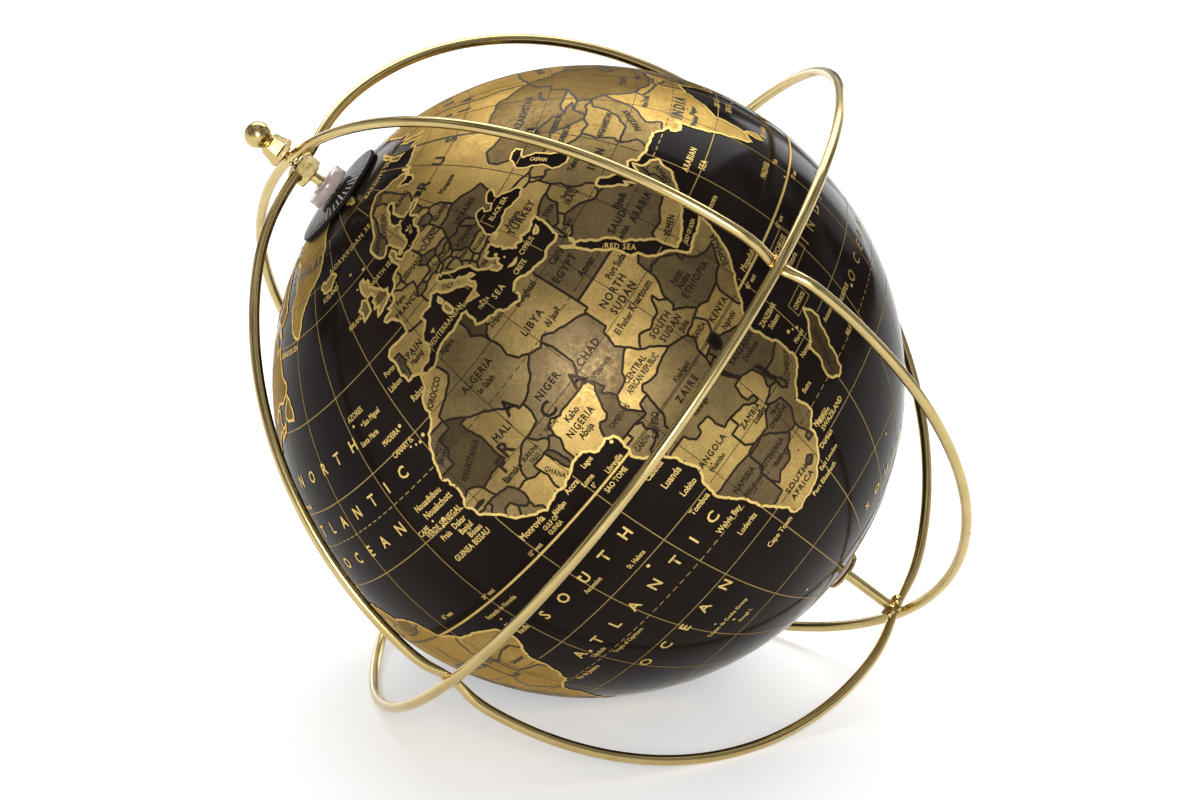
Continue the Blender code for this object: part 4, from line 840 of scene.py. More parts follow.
# Country borders: each line runs from one known corner to the next, a little past the coast at sea ends,
# and ends with a semicolon.
BORDERS = """-2.2,35.3 -1.8,34.5 -1.3,32.2 -3.6,30.8 -5.2,29.9 -8.7,28.7 -8.7,27.4; -13.7,27.7 -8.7,27.7;
-8.7,27.4 -8.7,26 -12,26 -12,23.4 -13.1,22.8 -13,21.3 -17.4,21.3; -8.7,27.4 -4.8,25 1.2,21.1 3.2,19.8
3.2,19.1 4.3,19.1 5.9,19.4 12,23.5; -4.8,25 -6.5,25 -5.5,16.3 -5.3,15.5 -9.3,15.5 -10.9,15.1 -12.2,14.8;
12,23.5 10.3,24.5 9.4,26.4 9.9,28 9.8,29.4 9.5,30.2; 9.5,30.2 9.1,32.1 7.6,33.4 8.3,35 8.3,36.4 8.6,37.1;
9.5,30.2 10.2,31.7 11.5,32.4 11.5,33.4; 25.2,31.9 24.9,30.5 25,29.2 25,22 25,20 24,20 24,19.5; 24,19.5
16,23.5 15,23 14.2,22.5 12,23.5; 25,22 31.4,22 37.3,22; 15,23 15.6,21 15.6,16.9 13.5,14.4 14.1,13.4;
24,19.5 24,15.7 22.9,15.4 22.3,13.5 22,12.6 22.9,11; 22.9,11 21.7,10.6 19,9 18.6,8 15.5,7.5 15.2,8.5
14.2,10 15.5,10 15.1,11.5 14.3,12.9; 3.6,11.7 4.1,13.5 5.4,13.9 6.9,13 8,13.3 10,13.2 12.4,13.1 13.9,13.4;
2.7,6.2 2.7,7.9 2.8,9 3.8,10.6 3.6,11.7; 14.3,12.9 14.6,11.5 13.4,9.9 12.8,8.8 12,7 11,6.5 10.1,7 9,5.8
8.5,4.5; 4.3,19.1 4.2,16.9 3.5,15.4 1,15 0.2,15; 0.2,15 1,13.4 2.2,12.6 2.4,11.9; 2.4,11.9 2.8,12.4
3.6,11.7; 0.2,15 -1,15 -2.8,13.9 -4.3,13 -5.3,11.6 -5.5,10.4; -12.2,14.8 -12,13.6 -11.4,12.4 -9.9,12.1
-8.9,12 -8,10.3 -6.2,10.6 -5.5,10.4; -16.7,16 -14.9,16.6 -13.3,16 -12.2,14.8; -11.4,12.4 -13.7,12.6
-17,12.4; -13.7,12.6 -13.7,11.7 -15,10.7; -17,13.5 -15.3,13.7 -13.8,13.4 -15.3,13.3 -17,13.1; -13.5,8.9
-12.4,9.8 -11,9.9 -10.6,9.1 -10.3,8.5; -10.3,8.5 -11.5,6.7; -10.3,8.5 -9.4,7.5 -8.4,7.6 -8.5,6.4 -7.4,5.5
-7.5,4.2; -8.4,7.6 -8,8.4 -7.8,9.3 -8,10.3; -5.5,10.4 -4.3,9.7 -2.8,9.6 -2.5,8.2 -3.2,6.2 -3.1,5; -2.8,9.6
-2.9,11 0,11.1 0.9,11 2.4,11.9; 0,11.1 0.5,8.7 0.6,6.9 1.2,5.9; 0.9,11 1.6,9.1 1.7,6; 15.5,7.5 14.4,6
14.6,4.5 15.2,3.7 16.1,2.2; 16.1,2.2 15.9,1.7 13.3,2.2 11.3,2.2 9.7,2.2; 11.3,2.2 11.3,1 9.3,1; 13.3,2.2
14.4,1.4 13.9,0.1 14.5,-0.6 14.5,-1.9 13,-2.4 11.6,-2.6 10.8,-4.2; 16.1,2.2 16.6,3.5 18.6,3.5 18.6,4.4
19.5,5.1 22.4,4.2 25.2,5 27.4,5.1; 18.6,3.5 17.9,1 17.7,-0.5 16.2,-2.2 15.9,-3.9 14.6,-4.9 13.1,-4.6
12.5,-5.1 12.1,-5.9; 22.9,11 23.6,9.8 24.2,8.7 26.4,6.6 27.4,5.1; 24.2,8.7 26,10.3 28,9.3 29.5,9.8 31,9.8
32.4,11.7 33.1,12.2 33.1,10.7 34.1,9.5; 27.4,5.1 29,4.4 30.9,3.5 31.8,3.8 34,4.2 35.9,4.6; 35.9,4.6
35.3,5.4 33,7.8 33.9,8.2 34.1,9.5; 34.1,9.5 34.3,10.6 36.1,12.8 36.5,14.3 37,17 38.9,18.1; 36.5,14.3
37.9,14.9 39,14.6 40.1,14.5 42.4,12.4 43.4,12.9; 42.4,12.4 41.8,11 42.9,11 43.5,11.7; 42.9,11 42.8,10.6
44,9 47,8 48,8 45,5 43,4.6 41.9,4; 41.9,4 41,2.8 41,-0.9 41.6,-2; 35.9,4.6 36.9,4.4 38.1,3.6 39.9,3.8
41.9,4; 34,4.2 35,1.9 33.6,0; 33.6,-1 37.6,-3 39.4,-4.9; 30.9,3.5 31.3,2.2 29.9,0.6 29.6,-1.4 30.5,-1.1
32.2,-1; 30.5,-1.1 30.8,-2.3 29,-2.7 29.6,-1.4; 30.8,-2.3 30.5,-3.5 29.4,-4.5 29,-2.7; 30.6,-8.3 28.9,-8.4
28.6,-9.5 28.4,-11.8 29.8,-12.2 29.8,-13.4 28.9,-13.2 27.2,-11.6 25.3,-11.2 24,-10.9; 24,-10.9 22.2,-11.1
21.8,-7.3 19.4,-7 19,-8 17.5,-8.1 16.6,-5.9 13.1,-5.9 12.1,-6.2; 24,-10.9 24,-13 22,-13 22,-16.2
23.4,-17.6 25.2,-17.8; 23.4,-17.6 21,-17.9 18.4,-17.4 14,-17.4 11.6,-17.2; 25.2,-17.8 23.3,-18.2 21,-18.3
21,-22 20,-22 20,-28.4 17.6,-28.8 16.2,-28.6; 20,-24.8 20.8,-26.8 22.8,-25.5 25.7,-25.6 27,-23.7
29.4,-22.2 27.7,-20.5 25.2,-17.8 27,-17.9 28.9,-16 30.4,-15.7; 30.4,-15.7 32.9,-17 32.9,-19.9 31.3,-22.4
29.4,-22.2; 31.3,-22.4 32,-25.6 31,-25.9 30.9,-27 32.1,-27 33.1,-26.8; 32,-25.6 32.1,-27; 27,-29.6
28.5,-28.6 29.4,-29.5 28,-30.6 27,-29.6; 30.4,-15.7 30.2,-15 33.2,-14 32.7,-13.6 33.5,-12.4 33.2,-9.5;
30.9,-8.4 33.2,-9.5 34.1,-9.6; 33.2,-14 34.6,-14.5 34.4,-16 35.3,-17.1 35.8,-16 35.6,-14.8 35,-14.1;
34.5,-11.6 36.2,-11.7 37.8,-11.5 40.7,-10.5; 29.3,-5 29.4,-4.5; 29.6,-6 30.6,-8.3; 34.9,29.5 36,29.2
37.5,30 37,31.5 39.1,32.1 38.8,33.4 36.8,32.3 35.6,32.7; 34.2,31.5 34.9,29.5 35.5,31.5 35.6,32.7 35.6,33.3
35,33.1; 35.6,33.3 36.4,34.5 35.8,34.7; 38.8,33.4 41,34.4 41.3,36.4 42.4,37.1; 35.7,35.9 36.6,36.3 38,36.8
42.4,37.1 44.8,37.2; 44.8,37.2 45.8,35.8 45.4,34 47.8,31.8 48.5,29.9; 47.9,30.1 46.6,29.1 48.5,28.5;
39.1,32.1 42.1,31.1 44.7,29.2 46.6,29.1; 42.7,16.4 43.4,17.5 46,17.3 48.2,18.2 52,19 53.3,16.1; 52,19
55,20 55.7,22 55.2,22.7 52.6,22.9 51.8,24.1; 55.2,22.7 56,24.1 56.4,25; 50.6,24.9 51.8,24.1; 41.4,41.5
43.5,41.1 44.8,39.7 44.8,37.2; 39.9,43.4 43.5,42.8 46.4,41.9 48.7,41.8; 43.5,41.1 45,41.3 46.4,41.9;
45,41.3 46.5,39 44.8,39.7; 46.5,39 48,39.4 49,38.4; 53.8,37.3 57,38.2 61.1,36.6 60.6,34 61.8,31 60.9,29.8
63.2,27.2 61.6,25; 60.9,29.8 66.3,29.9 69.3,31.9 71.1,34.1 71.6,36.5 74.9,37.3; 61.1,36.6 64.5,36.3
66.5,37.4 71.5,38 74.9,37.3; 68.1,23.6 71,24.4 69.6,27 72.9,29 74.5,31 75.3,32.3 77.8,35.5 74.9,37.3;
74.9,37.3 73.8,39.6 80.2,42.2 80.2,45 82.6,45.2 83,47.2 87.4,49.1; 77.8,35.5 79,32.5 81,30.2 86,28
88.1,27.9 92,27.8 97.3,28.2; 81,30.2 80.1,28.8 84.5,27.3 88.1,26.5 88.1,27.9; 88.9,27.8 88.9,27 92,26.9
92,27.8; 89,21.5 88.3,24.5 88.8,26.2 92.2,25.1 91.3,23.5 92.4,20.8; 92.4,20.8 93.4,24.1 97.3,28.2 97.6,24
98.9,22.2 101.1,21.6; 101.1,21.6 100.1,20.4 97.7,18.5 98.9,16.4 98.2,15 99.6,11.8 98.3,10.2; 100.1,20.4
101.1,17.5 104,18.3 105.5,14.4 102.4,13.6 102.9,11.5; 101.1,21.6 102.2,22.4 104.8,20 107.5,15.5 107.5,14.4
105.5,14.4; 107.5,14.4 107.5,12.4 105.8,11.2 104.4,10.4; 102.2,22.4 105.3,23.3 108.1,21.4; 100,6.5
101.5,5.7 102.2,6.4; 87.4,49.1 98,50.7 102.3,50.5 108,49.6 116.7,49.8 119.8,46.7 111.9,43.7 105,41.6
96.4,42.7 90.9,45.2 87.4,49.1; 116.7,49.8 120,52.7 125.5,53 127.5,50 130.9,47.7 135,48.4 133.2,45 131,43
130.7,42.3 128.1,42 126.3,41 124,39.8; 125.8,37.3 128.6,38.7; 87.4,49.1 83.4,51 77,53.9 71,54.2 61,54
61.5,51 55,50.8 50.8,51.7 47,50 47,48.2 49.2,46.2; 52.3,41.8 56,41.3 56,45 59.2,45.5; 60.4,44.7 66,42.9
68.2,41 71,42.3 80.2,42.2; 56,41.3 60,42.2 62.4,39.8 66.5,37.4; 68.2,41 70.5,41.2 73,40.5 69.5,39.7
67.8,37.2; 69.5,39.7 73.8,39.6; 109.5,2 110.5,1 114.8,1.5 117.8,4.1; 141,-2.4 141,-9.3; -9,41.9 -6.6,41.9
-7,39.7 -7.4,37; -1.9,43.5 0.7,42.8 3.4,42.4; 2.4,51.2 4.2,49.9 6.2,49.5 8.2,49 7.6,47.6 6.1,46.3 7,45.9
7,44.3 7.6,43.6; 7,45.9 9,45.9 10.4,46.6 9.6,47.5 7.6,47.6; 9.6,47.5 13,47.6 13.8,48.8 15,49 16.9,48.7
17.1,48 16.1,46.8 13.7,46.5 12.4,46.8 10.4,46.6; 13.7,46.5 13.7,45.6; 13.8,48.8 12.2,50.2 14.8,50.9
14.6,52.5 14.3,54.1; 7,53.6 6.9,52.2 6,51.5 6.1,50.7 6.2,49.5; 3.2,51.4 6,51.3; 8.4,54.9 9.9,54.8;
14.8,50.9 18.8,49.5 22.6,49.1 22.2,48.4 18.8,47.8 17.1,48; 16.9,48.7 18.8,49.5; 22.6,49.1 24.1,50.8
23.6,51.5 23.5,53.9 22.8,54.4 19.2,54.9; 22.8,54.4 22,55.1 20.4,55.5; 20.9,56.1 24.5,56.3 26.6,55.7;
24.2,57.9 27.4,57.5 28,59.6; 27.4,57.5 28.1,56.1 26.6,55.7 25.8,54.2 23.5,53.9; 28.1,56.1 31,54.7
31.8,52.1 23.6,51.5; 31.8,52.1 34.4,51.5 38,49.9 40,49.4 38.3,46.9; 22.2,48.4 24.9,47.8 26.6,48.3
28.2,45.5 30,45.2; 26.6,48.3 29.2,48 30.1,46.2; 22.2,48.4 20.3,46.2 21.5,44.8 22.5,44.5 22.9,43.8
27.2,44.2 28.6,43.7; 28.2,42 26.4,41.8 25.9,40.5; 26.4,41.8 23,41.3 21,40.9 20,39.6; 22.9,43.8 22.4,42.3
23,41.3; 21,40.9 20.6,41.9 19.3,41.9; 20.6,41.9 22.4,42.3; 20.6,41.9 20,42.8 19.2,43.5 18.4,42.4;
19.2,43.5 19.4,44.9 19,45 15.8,45.2 16.2,44.2 18.3,42.6; 19,45 18.9,45.9 20.3,46.2; 18.9,45.9 16.5,46.5
16.1,46.8; 16.5,46.5 15.7,45.8 13.5,45.4; 10.8,58.8 12.3,61 12.2,63 14.3,65 16,68 20.5,69.1; 24.1,65.7
23.7,67.5 20.5,69.1 25,69 28,70.1 28.9,69.1 30.9,69.9; 28.9,69.1 29.9,66.5 31.4,62.9 28,60.4; -95.2,49
-123.2,49; -95.2,49 -88.6,48.1; -84.6,46.6 -83.6,45.9; -82.4,43.2 -82.8,42; -76.5,44.1 -74.7,45 -71.5,45
-70,46.7 -67.8,47.1 -67,44.8; -141,69.9 -141,60.3 -135,59 -130,55.9 -130.3,54.3; -117.3,32.5 -111,31.3
-106.5,31.8 -103,29 -99.2,26.5 -97,25.8; -92.4,14.4 -91,17.2 -89.1,17.9 -88.1,18.5; -89.1,17.9 -89.1,15.9
-88.1,15.8; -89.1,15.9 -89.3,14.4 -87.8,12.9; -89.3,14.4 -90.2,13.6; -87.7,12.9 -86,13.9 -83.2,15;
-85.9,11.1 -83.5,10.9; -83,8 -82.5,9.8; -77.3,8.8 -78,7.2; -120,60 -120,69.6; -139,60 -120,60 -102,60
-94.3,60; -102,60 -102,67.8; -110,49 -110,60; -102,49 -102,60; -120,60 -120,54 -114,49; -95.2,49
-95.2,52.8 -89,56.4; -104,49 -104,41 -102,41 -102,37 -109,37 -109,31.4; -111,49 -111,45 -104,45; -114,42
-124.6,42; -109,41 -109,37 -114,37 -114.6,32.6; -120,42 -120,39 -114.6,35; -97,49 -96.5,43.5 -91.2,43.5
-90.6,42.5; -102,37 -94.6,37 -94.5,33.6 -94,29.4; -91,36.5 -82,36.6 -75.9,36.5; -88.2,36.5 -88.2,30.2;
-85,35 -85,30.8; -90.6,42.5 -91.5,40 -89.2,37 -91,33 -91,29; -80.5,42.2 -80.5,39.7 -75.8,39.7; -71.2,11.9
-72.4,8.5 -70.1,7 -67.4,6.2 -67,1.2; -60,8.7 -60.7,5.2 -64,4.1 -63.4,2.2 -67,1.2; -60.7,5.2 -59.5,2
-56.5,1.9 -54.5,2.3 -51.5,4.1; -57.2,6.2 -57.9,3.4 -56.5,1.9; -54,6 -54.5,2.3; -67,1.2 -69.8,0.6
-69.9,-4.2 -73,-2.4 -75.2,0 -79.2,1.5; -75.2,0 -76,-2.8 -78.3,-4.7 -80.4,-3.3; -69.9,-4.2 -73.2,-7
-70.6,-9.5 -69.5,-10.9 -69,-16.2 -69.4,-17.5 -70.7,-18.5; -69.5,-10.9 -65.3,-10 -65.3,-12 -60.2,-13.7
-60.2,-16.3 -57.6,-18 -58.1,-20.1; -58.1,-20.1 -62.3,-20.5 -62.7,-22.2 -67,-22.9 -68.5,-19.5 -69.4,-17.5;
-62.7,-22.2 -57.7,-25.3 -58.6,-27.3 -54.6,-25.6 -55.7,-22.4 -58.1,-20.1; -54.6,-25.6 -53.8,-27 -57.6,-30.2
-58.4,-34.3; -57.6,-30.2 -55.6,-31 -53.2,-33.9; -67,-22.9 -68.5,-27 -70,-33 -71.7,-39 -71.8,-45 -73,-50
-68.2,-52.4; -60,-13 -60,-8 -53,-8 -50,-10 -50,-16 -53,-20 -48,-24 -48,-26; -46,-2 -48,-6 -46,-11 -46,-15
-40,-16 -39,-18.3; -46,-11 -41,-9 -38,-9 -37,-11; -56,-2 -56,-8; -67,-23 -62,-26 -62,-34 -58.4,-34;
129,-14.5 129,-32; 138,-16 138,-26; 129,-26 141,-26; 141,-26 141,-38.4; 141,-29 149,-29 153.9,-28.2;
141,-34 147,-36 150.2,-37.4; 60,55 60,68.9; 87,50 84,58 86,68 80,72; 110,50 105,60 112,70 112,73.8;
135,48.4 132,58 140,68 150,71.2; 97,28 100,34 96,42.5; 110,25 110,40; 104,23 108,32 120,34"""

# --- map: printed layers just above the ball ---------------------------------------------------------------
LINE_HEIGHT, LAND_HEIGHT, INK_HEIGHT, GOLD_HEIGHT = 0.00004, 0.00007, 0.00010, 0.00012
COAST_WIDTH, BORDER_WIDTH, FINE_WIDTH, EQUATOR_WIDTH = 0.00056, 0.00050, 0.00017, 0.00050
GOLD_TONE, SAND_TONE, OLIVE_TONE = (0.45, 0.320, 0.116), (0.32, 0.230, 0.090), (0.230, 0.172, 0.078)
TAUPE_TONE, DARK_TONE = (0.160, 0.118, 0.062), (0.095, 0.069, 0.036)
TONES = (GOLD_TONE, SAND_TONE, OLIVE_TONE, TAUPE_TONE, DARK_TONE)
# longitude,latitude,tone of one inside point of each country; places not named here get one by turns.
TONE_SEEDS = """2,28,2 17,27,1 28,26.5,3 30,17,0 -2,18,1 9,17.5,3 18.5,15.5,3 39,9,3 30,8,1 8,9.5,0
-10,20,4 -6,32,0 -13,24.5,3 9.5,35.5,4 21,6.8,0 12.5,5.5,4 15,-1,3 11.5,-1,2 23,-3,2 32.5,1.5,0 38,0.5,0
35,-6,3 17.5,-12.5,0 26,-14.5,0 29.8,-19,3 24,-22.5,3 17,-21.5,3 24,-30.5,0 37,-14.5,2 46.7,-19.5,4 46,4,1
45,24,3 46.5,15.7,0 57,20.5,3 43.5,33,1 54,32.5,2 38,35,3 35,39,0 36.5,31,1 54,23.8,4 -5.5,8,0 -1,8,0
-1.5,12.5,2 -14.5,14.5,1 -10.5,10.5,3 -9.5,6.5,2 -12,8.5,1 2.3,9.5,3 40,15,3 34.5,-13,1 22.5,39.3,1
12.5,42.8,0 -3.5,40,0 -8,39.5,3 2.5,47,0 10.3,51,0 19.5,52,0 31.5,49.5,3 28,53.5,1 25,46,3 60,60,0 45,60,0
75,62,0 100,62,0 125,62,0 150,65,0 67,48,3 103,35,3 103,46.5,1 79,22,0 69,30,2 65,33.5,1 60,39,1 63,41.5,3
96,21,3 101,15.5,0 106,15,2 15,63,0 9,61,3 27,64,1 -2,53,0 -8,53,2 -18,65,1 25,43,0 21,44,1 14,47.5,0
8,46.9,2 15.5,49.8,3 9,56.3,1 24,55.5,3 -100,57,1 -100,40,0 -102,24,2 -150,65,3 -52,-5,0 -42,-8,0
-42,-14,0 -55,-12,0 -50,-20,0 -57,-6,0 -65,-38,2 -75,-9,1 -73,4,3 -66,7,0 -64,-17,3 -70.5,-33,0 -78,-1.5,2
-58,-23,1 -56,-33,3 -42,72,1 122,-25,0 133,-20,2 145,-23,1 147,-32,3 134,-30,0 144.5,-37,2 141,44,0
138,36.5,0 114,0,0 102,-1,3 110,-7.3,1 138,-5,2 144,-6,0 121,16,0 125,7.5,1 80.8,7.5,0 127.5,36,0 127,40,3
10,-80,1 60,-80,1 -80,8.4,0"""
TONE_TURNS = (0, 2, 1, 3, 0, 1, 4, 2)


def read_points(text):
    """Groups of numbers joined by commas, with space between groups."""
    return [tuple(float(v) for v in pair.split(",")) for pair in text.split()]


def place_on(lon, lat, height=0.0):
    """Globe-frame point of a place."""
    a, b, r = (lon + GREENWICH_TURN) * DEG, lat * DEG, GLOBE_R + height
    return Vector((r * math.cos(b) * math.cos(a), r * math.cos(b) * math.sin(a), r * math.sin(b)))


def roughened(points, closed, step, amount, rng):
    """Adds points between the typed ones, pushed aside a little, so that a coast looks like one."""
    result = []
    pairs = list(zip(points, points[1:] + points[:1])) if closed else list(zip(points, points[1:]))
    for (x0, y0), (x1, y1) in pairs:
        line = [(x0, y0), (x1, y1)]
        straight = x0 == x1 or y0 == y1 or abs(x0) == 180 or abs(x1) == 180
        shrink = max(0.25, math.cos((y0 + y1) / 2 * DEG))
        while math.hypot((line[1][0] - line[0][0]) * shrink, line[1][1] - line[0][1]) > step:
            denser = [line[0]]
            for (a, b), (c, d) in zip(line, line[1:]):
                push = 0.0 if straight else rng.uniform(-amount, amount)
                denser.append(((a + c) / 2 - (d - b) * push / shrink, (b + d) / 2 + (c - a) * push * shrink))
                denser.append((c, d))
            line = denser
        result += line[:-1]
    return result if closed else result + [points[-1]]


rng = random.Random(11)
coasts = {name: roughened(read_points(text), True, 0.8 if name != "antarctica" else 3.0, 0.13, rng)
          for name, text in COASTS.items()}
lakes = {name: roughened(read_points(text), True, 0.8, 0.10, rng) for name, text in LAKES.items()}
borders = [roughened(read_points(line), False, 1.1, 0.09, rng) for line in BORDERS.split(";")]
polygons = [(np.array(p), 1) for p in coasts.values()] + [(np.array(p), -1) for p in lakes.values()]


def on_land(xy):
    """Which of these places are inside a coast and not in a lake."""
    xy = np.asarray(xy, float)
    score = np.zeros(len(xy), int)
    for polygon, value in polygons:
        low, high = polygon.min(0), polygon.max(0)
        near = np.where(((xy >= low) & (xy <= high)).all(1))[0]
        if not len(near):
            continue
        x, y = xy[near, 0], xy[near, 1]
        inside = np.zeros(len(near), bool)
        for (x0, y0), (x1, y1) in zip(polygon, np.roll(polygon, -1, 0)):
            if y0 != y1:
                inside ^= ((y0 > y) != (y1 > y)) & (x < (x1 - x0) * (y - y0) / (y1 - y0) + x0)
        score[near[inside]] += value
    return score > 0


# Land, cut into countries along the borders, on a grid that keeps the triangles close to the ball.
GRID_WEST, GRID_SOUTH, GRID_EASTWARD, GRID_NORTHWARD = -178.6, -82.0, 2.5, 2.4
nodes, links = [], []
outlines = [*coasts.values(), *lakes.values()]
for line, closed in [(p, True) for p in outlines] + [(p, False) for p in borders]:
    base, count = len(nodes), len(line)
    nodes += line
    links += [(base + i, base + (i + 1) % count) for i in range(count if closed else count - 1)]
grid = [(GRID_WEST + GRID_EASTWARD * i, GRID_SOUTH + GRID_NORTHWARD * j)
        for i in range(148) for j in range(70)]
nodes += [g for g, land in zip(grid, on_land(grid)) if land]
points, edges, triangles, _, edge_from, _ = delaunay_2d_cdt([Vector(p) for p in nodes], links, [], 0, 1e-5,
                                                            True)
points = [tuple(p) for p in points]
middles = np.array([[sum(points[i][0] for i in t) / 3, sum(points[i][1] for i in t) / 3] for t in triangles])
land_faces = [t for t, land in zip(triangles, on_land(middles)) if land]
walls = {tuple(sorted(e)) for e, source in zip(edges, edge_from) if source}
by_edge = {}
for index, t in enumerate(land_faces):
    for a, b in zip(t, t[1:] + t[:1]):
        key = tuple(sorted((a, b)))
        if key not in walls:
            by_edge.setdefault(key, []).append(index)
neighbours = [[] for _ in land_faces]
for pair in by_edge.values():
    if len(pair) == 2:
        neighbours[pair[0]].append(pair[1])
        neighbours[pair[1]].append(pair[0])
country = [-1] * len(land_faces)
members = []
for start in range(len(land_faces)):
    if country[start] < 0:
        country[start] = len(members)
        stack, group = [start], []
        while stack:
            f = stack.pop()
            group.append(f)
            for g in neighbours[f]:
                if country[g] < 0:
                    country[g] = country[start]
                    stack.append(g)
        members.append(group)


def inside_triangle(p, t):
    signs = []
    for a, b in zip(t, t[1:] + t[:1]):
        (x0, y0), (x1, y1) = points[a], points[b]
        signs.append((x1 - x0) * (p[1] - y0) - (y1 - y0) * (p[0] - x0) >= 0)
    return all(signs) or not any(signs)


tone_of = [TONE_TURNS[(i * 5 + len(g)) % len(TONE_TURNS)] for i, g in enumerate(members)]
for x, y, tone in read_points(TONE_SEEDS):
    for index, t in enumerate(land_faces):
        if abs(points[t[0]][0] - x) < 12 and inside_triangle((x, y), t):
            tone_of[country[index]] = int(tone)
            break
used = sorted({i for t in land_faces for i in t})
renumber = {old: new for new, old in enumerate(used)}
faces = []
for t in land_faces:
    a, b, c = (points[i] for i in t)
    turn = (b[0] - a[0]) * (c[1] - a[1]) - (b[1] - a[1]) * (c[0] - a[0])
    faces.append(tuple(renumber[i] for i in (t if turn > 0 else t[::-1])))
land = add_piece("map_land", [place_on(*points[i], LAND_HEIGHT) for i in used], faces, land_print, "globe",
                 "globe_black")
tones = land.data.color_attributes.new("tone", "FLOAT_COLOR", "CORNER")
colors = []
for number in country:
    colors += [*TONES[tone_of[number]], 1.0] * 3
tones.data.foreach_set("color", colors)


def ribbon(line, width, height, closed=False):
    """A flat band along places on the globe."""
    places = [place_on(x, y, height) for x, y in line]
    n = len(places)
    verts = []
    for i, p in enumerate(places):
        before = places[i - 1] if i or closed else p
        after = places[(i + 1) % n] if i < n - 1 or closed else p
        side = p.cross(after - before)
        side = side.normalized() * (width / 2) if side.length > 1e-12 else Vector((0, 0, width / 2))
        verts += [p + side, p - side]
    faces = [(2 * i + 1, 2 * ((i + 1) % n) + 1, 2 * ((i + 1) % n), 2 * i)
             for i in range(n if closed else n - 1)]
    return verts, faces


def kept_runs(line, keep):
    """Stretches of a line whose points are kept."""
    run, runs = [], []
    for p, good in zip(line, keep):
        if good:
            run.append(p)
        elif run:
            runs.append(run)
            run = []
    return [r for r in runs + [run] if len(r) > 1]


def coast_ribbon(name, line):
    """Gold edge of a coast; Antarctica's is left open where the map is cut at the pole and the date line."""
    if name == "antarctica":
        return ribbon([p for p in line if p[1] > -79 and abs(p[0]) < 180], COAST_WIDTH, GOLD_HEIGHT)
    return ribbon(line, COAST_WIDTH, GOLD_HEIGHT, True)


shapes = [coast_ribbon(name, line) for name, line in coasts.items()]
SEAS = ("black_sea", "marmara", "caspian")
shapes += [ribbon(lakes[name], COAST_WIDTH * 0.7, GOLD_HEIGHT, True) for name in SEAS]
dense_borders = []
for line in borders:
    dense = []
    for (x0, y0), (x1, y1) in zip(line, line[1:]):
        n = max(1, math.ceil(math.hypot(x1 - x0, y1 - y0) / 0.4))
        dense += [(x0 + (x1 - x0) * i / n, y0 + (y1 - y0) * i / n) for i in range(n)]
    dense_borders.append(dense + [line[-1]])
ink_shapes = [ribbon(run, BORDER_WIDTH, INK_HEIGHT) for line in dense_borders
              for run in kept_runs(line, on_land(line))]
ink_shapes += [ribbon(line, BORDER_WIDTH, INK_HEIGHT, True) for name, line in lakes.items()
               if name not in SEAS]
# Small islands: a gold dot each.
ISLANDS = """-25.5,37.8 -28,38.6 -17,32.7 -16.5,28.3 -15.4,28.1 -13.9,28.6 -17.8,28.7 -24,15.1 -22.9,16.1
-25,17 -14.4,-7.9 -5.7,-16 -12.3,-37.1 -9.9,-40.3 -29.3,-20.5 -32.4,-3.8 3.5,-54.4 43.3,-11.7 44.3,-12.2
45.2,-12.8 55.5,-4.7 57.5,-20.3 55.6,-21.1 63.4,-19.7 73.5,4.2 73.1,0.5 72.4,-7.3 53.9,12.5 6.6,0.2
8.7,3.5 -155.5,19.6 -157.9,21.4 -149.5,-17.6 178,-17.8 179.2,-16.6 167.4,-15.5 168.3,-17.7 160,-9.5
162,-10.4 155.2,-6.1 -171.8,-13.8 144.8,13.5 134.5,7.4 171,7.1 -90.5,-0.6 -109.3,-27.1 -64.8,32.3 -61,14.6
-61.5,16.2 -61.2,13.2 -61.4,10.4 -77.5,24.5 -78,25 -36.7,-54.4 69.5,-49.3 -6.9,62 -1.2,60.3 -7,58
18.5,57.5 19.9,60.2 14.4,35.9 28,36.4 24.5,38.7 25,37.1 92.8,12 96.7,-12.2 105.6,-10.5 51.6,-46.4
-176.5,-44 166,-50.7 158.9,-54.6 127.9,26.5 129.5,28.4 142.2,27 -131,53 -127,50 -153.5,57.5 -166.8,53.7
-174,52.2 172.9,52.9"""


def dot(lon, lat, radius, height, sides):
    """A flat round spot."""
    center = place_on(lon, lat, height)
    east = Vector((0, 0, 1)).cross(center).normalized()
    north = center.cross(east).normalized()
    turns = [2 * math.pi * i / sides for i in range(sides)]
    verts = [center + radius * (east * math.cos(t) + north * math.sin(t)) for t in turns]
    return verts, [tuple(range(sides))]


for k, (x, y) in enumerate(read_points(ISLANDS)):
    shapes.append(dot(x, y, 0.00026 + 0.00008 * (k % 3), GOLD_HEIGHT, 7))
add_piece("map_coast_lines", *merged(*shapes), gold_print, "globe", "globe_black")

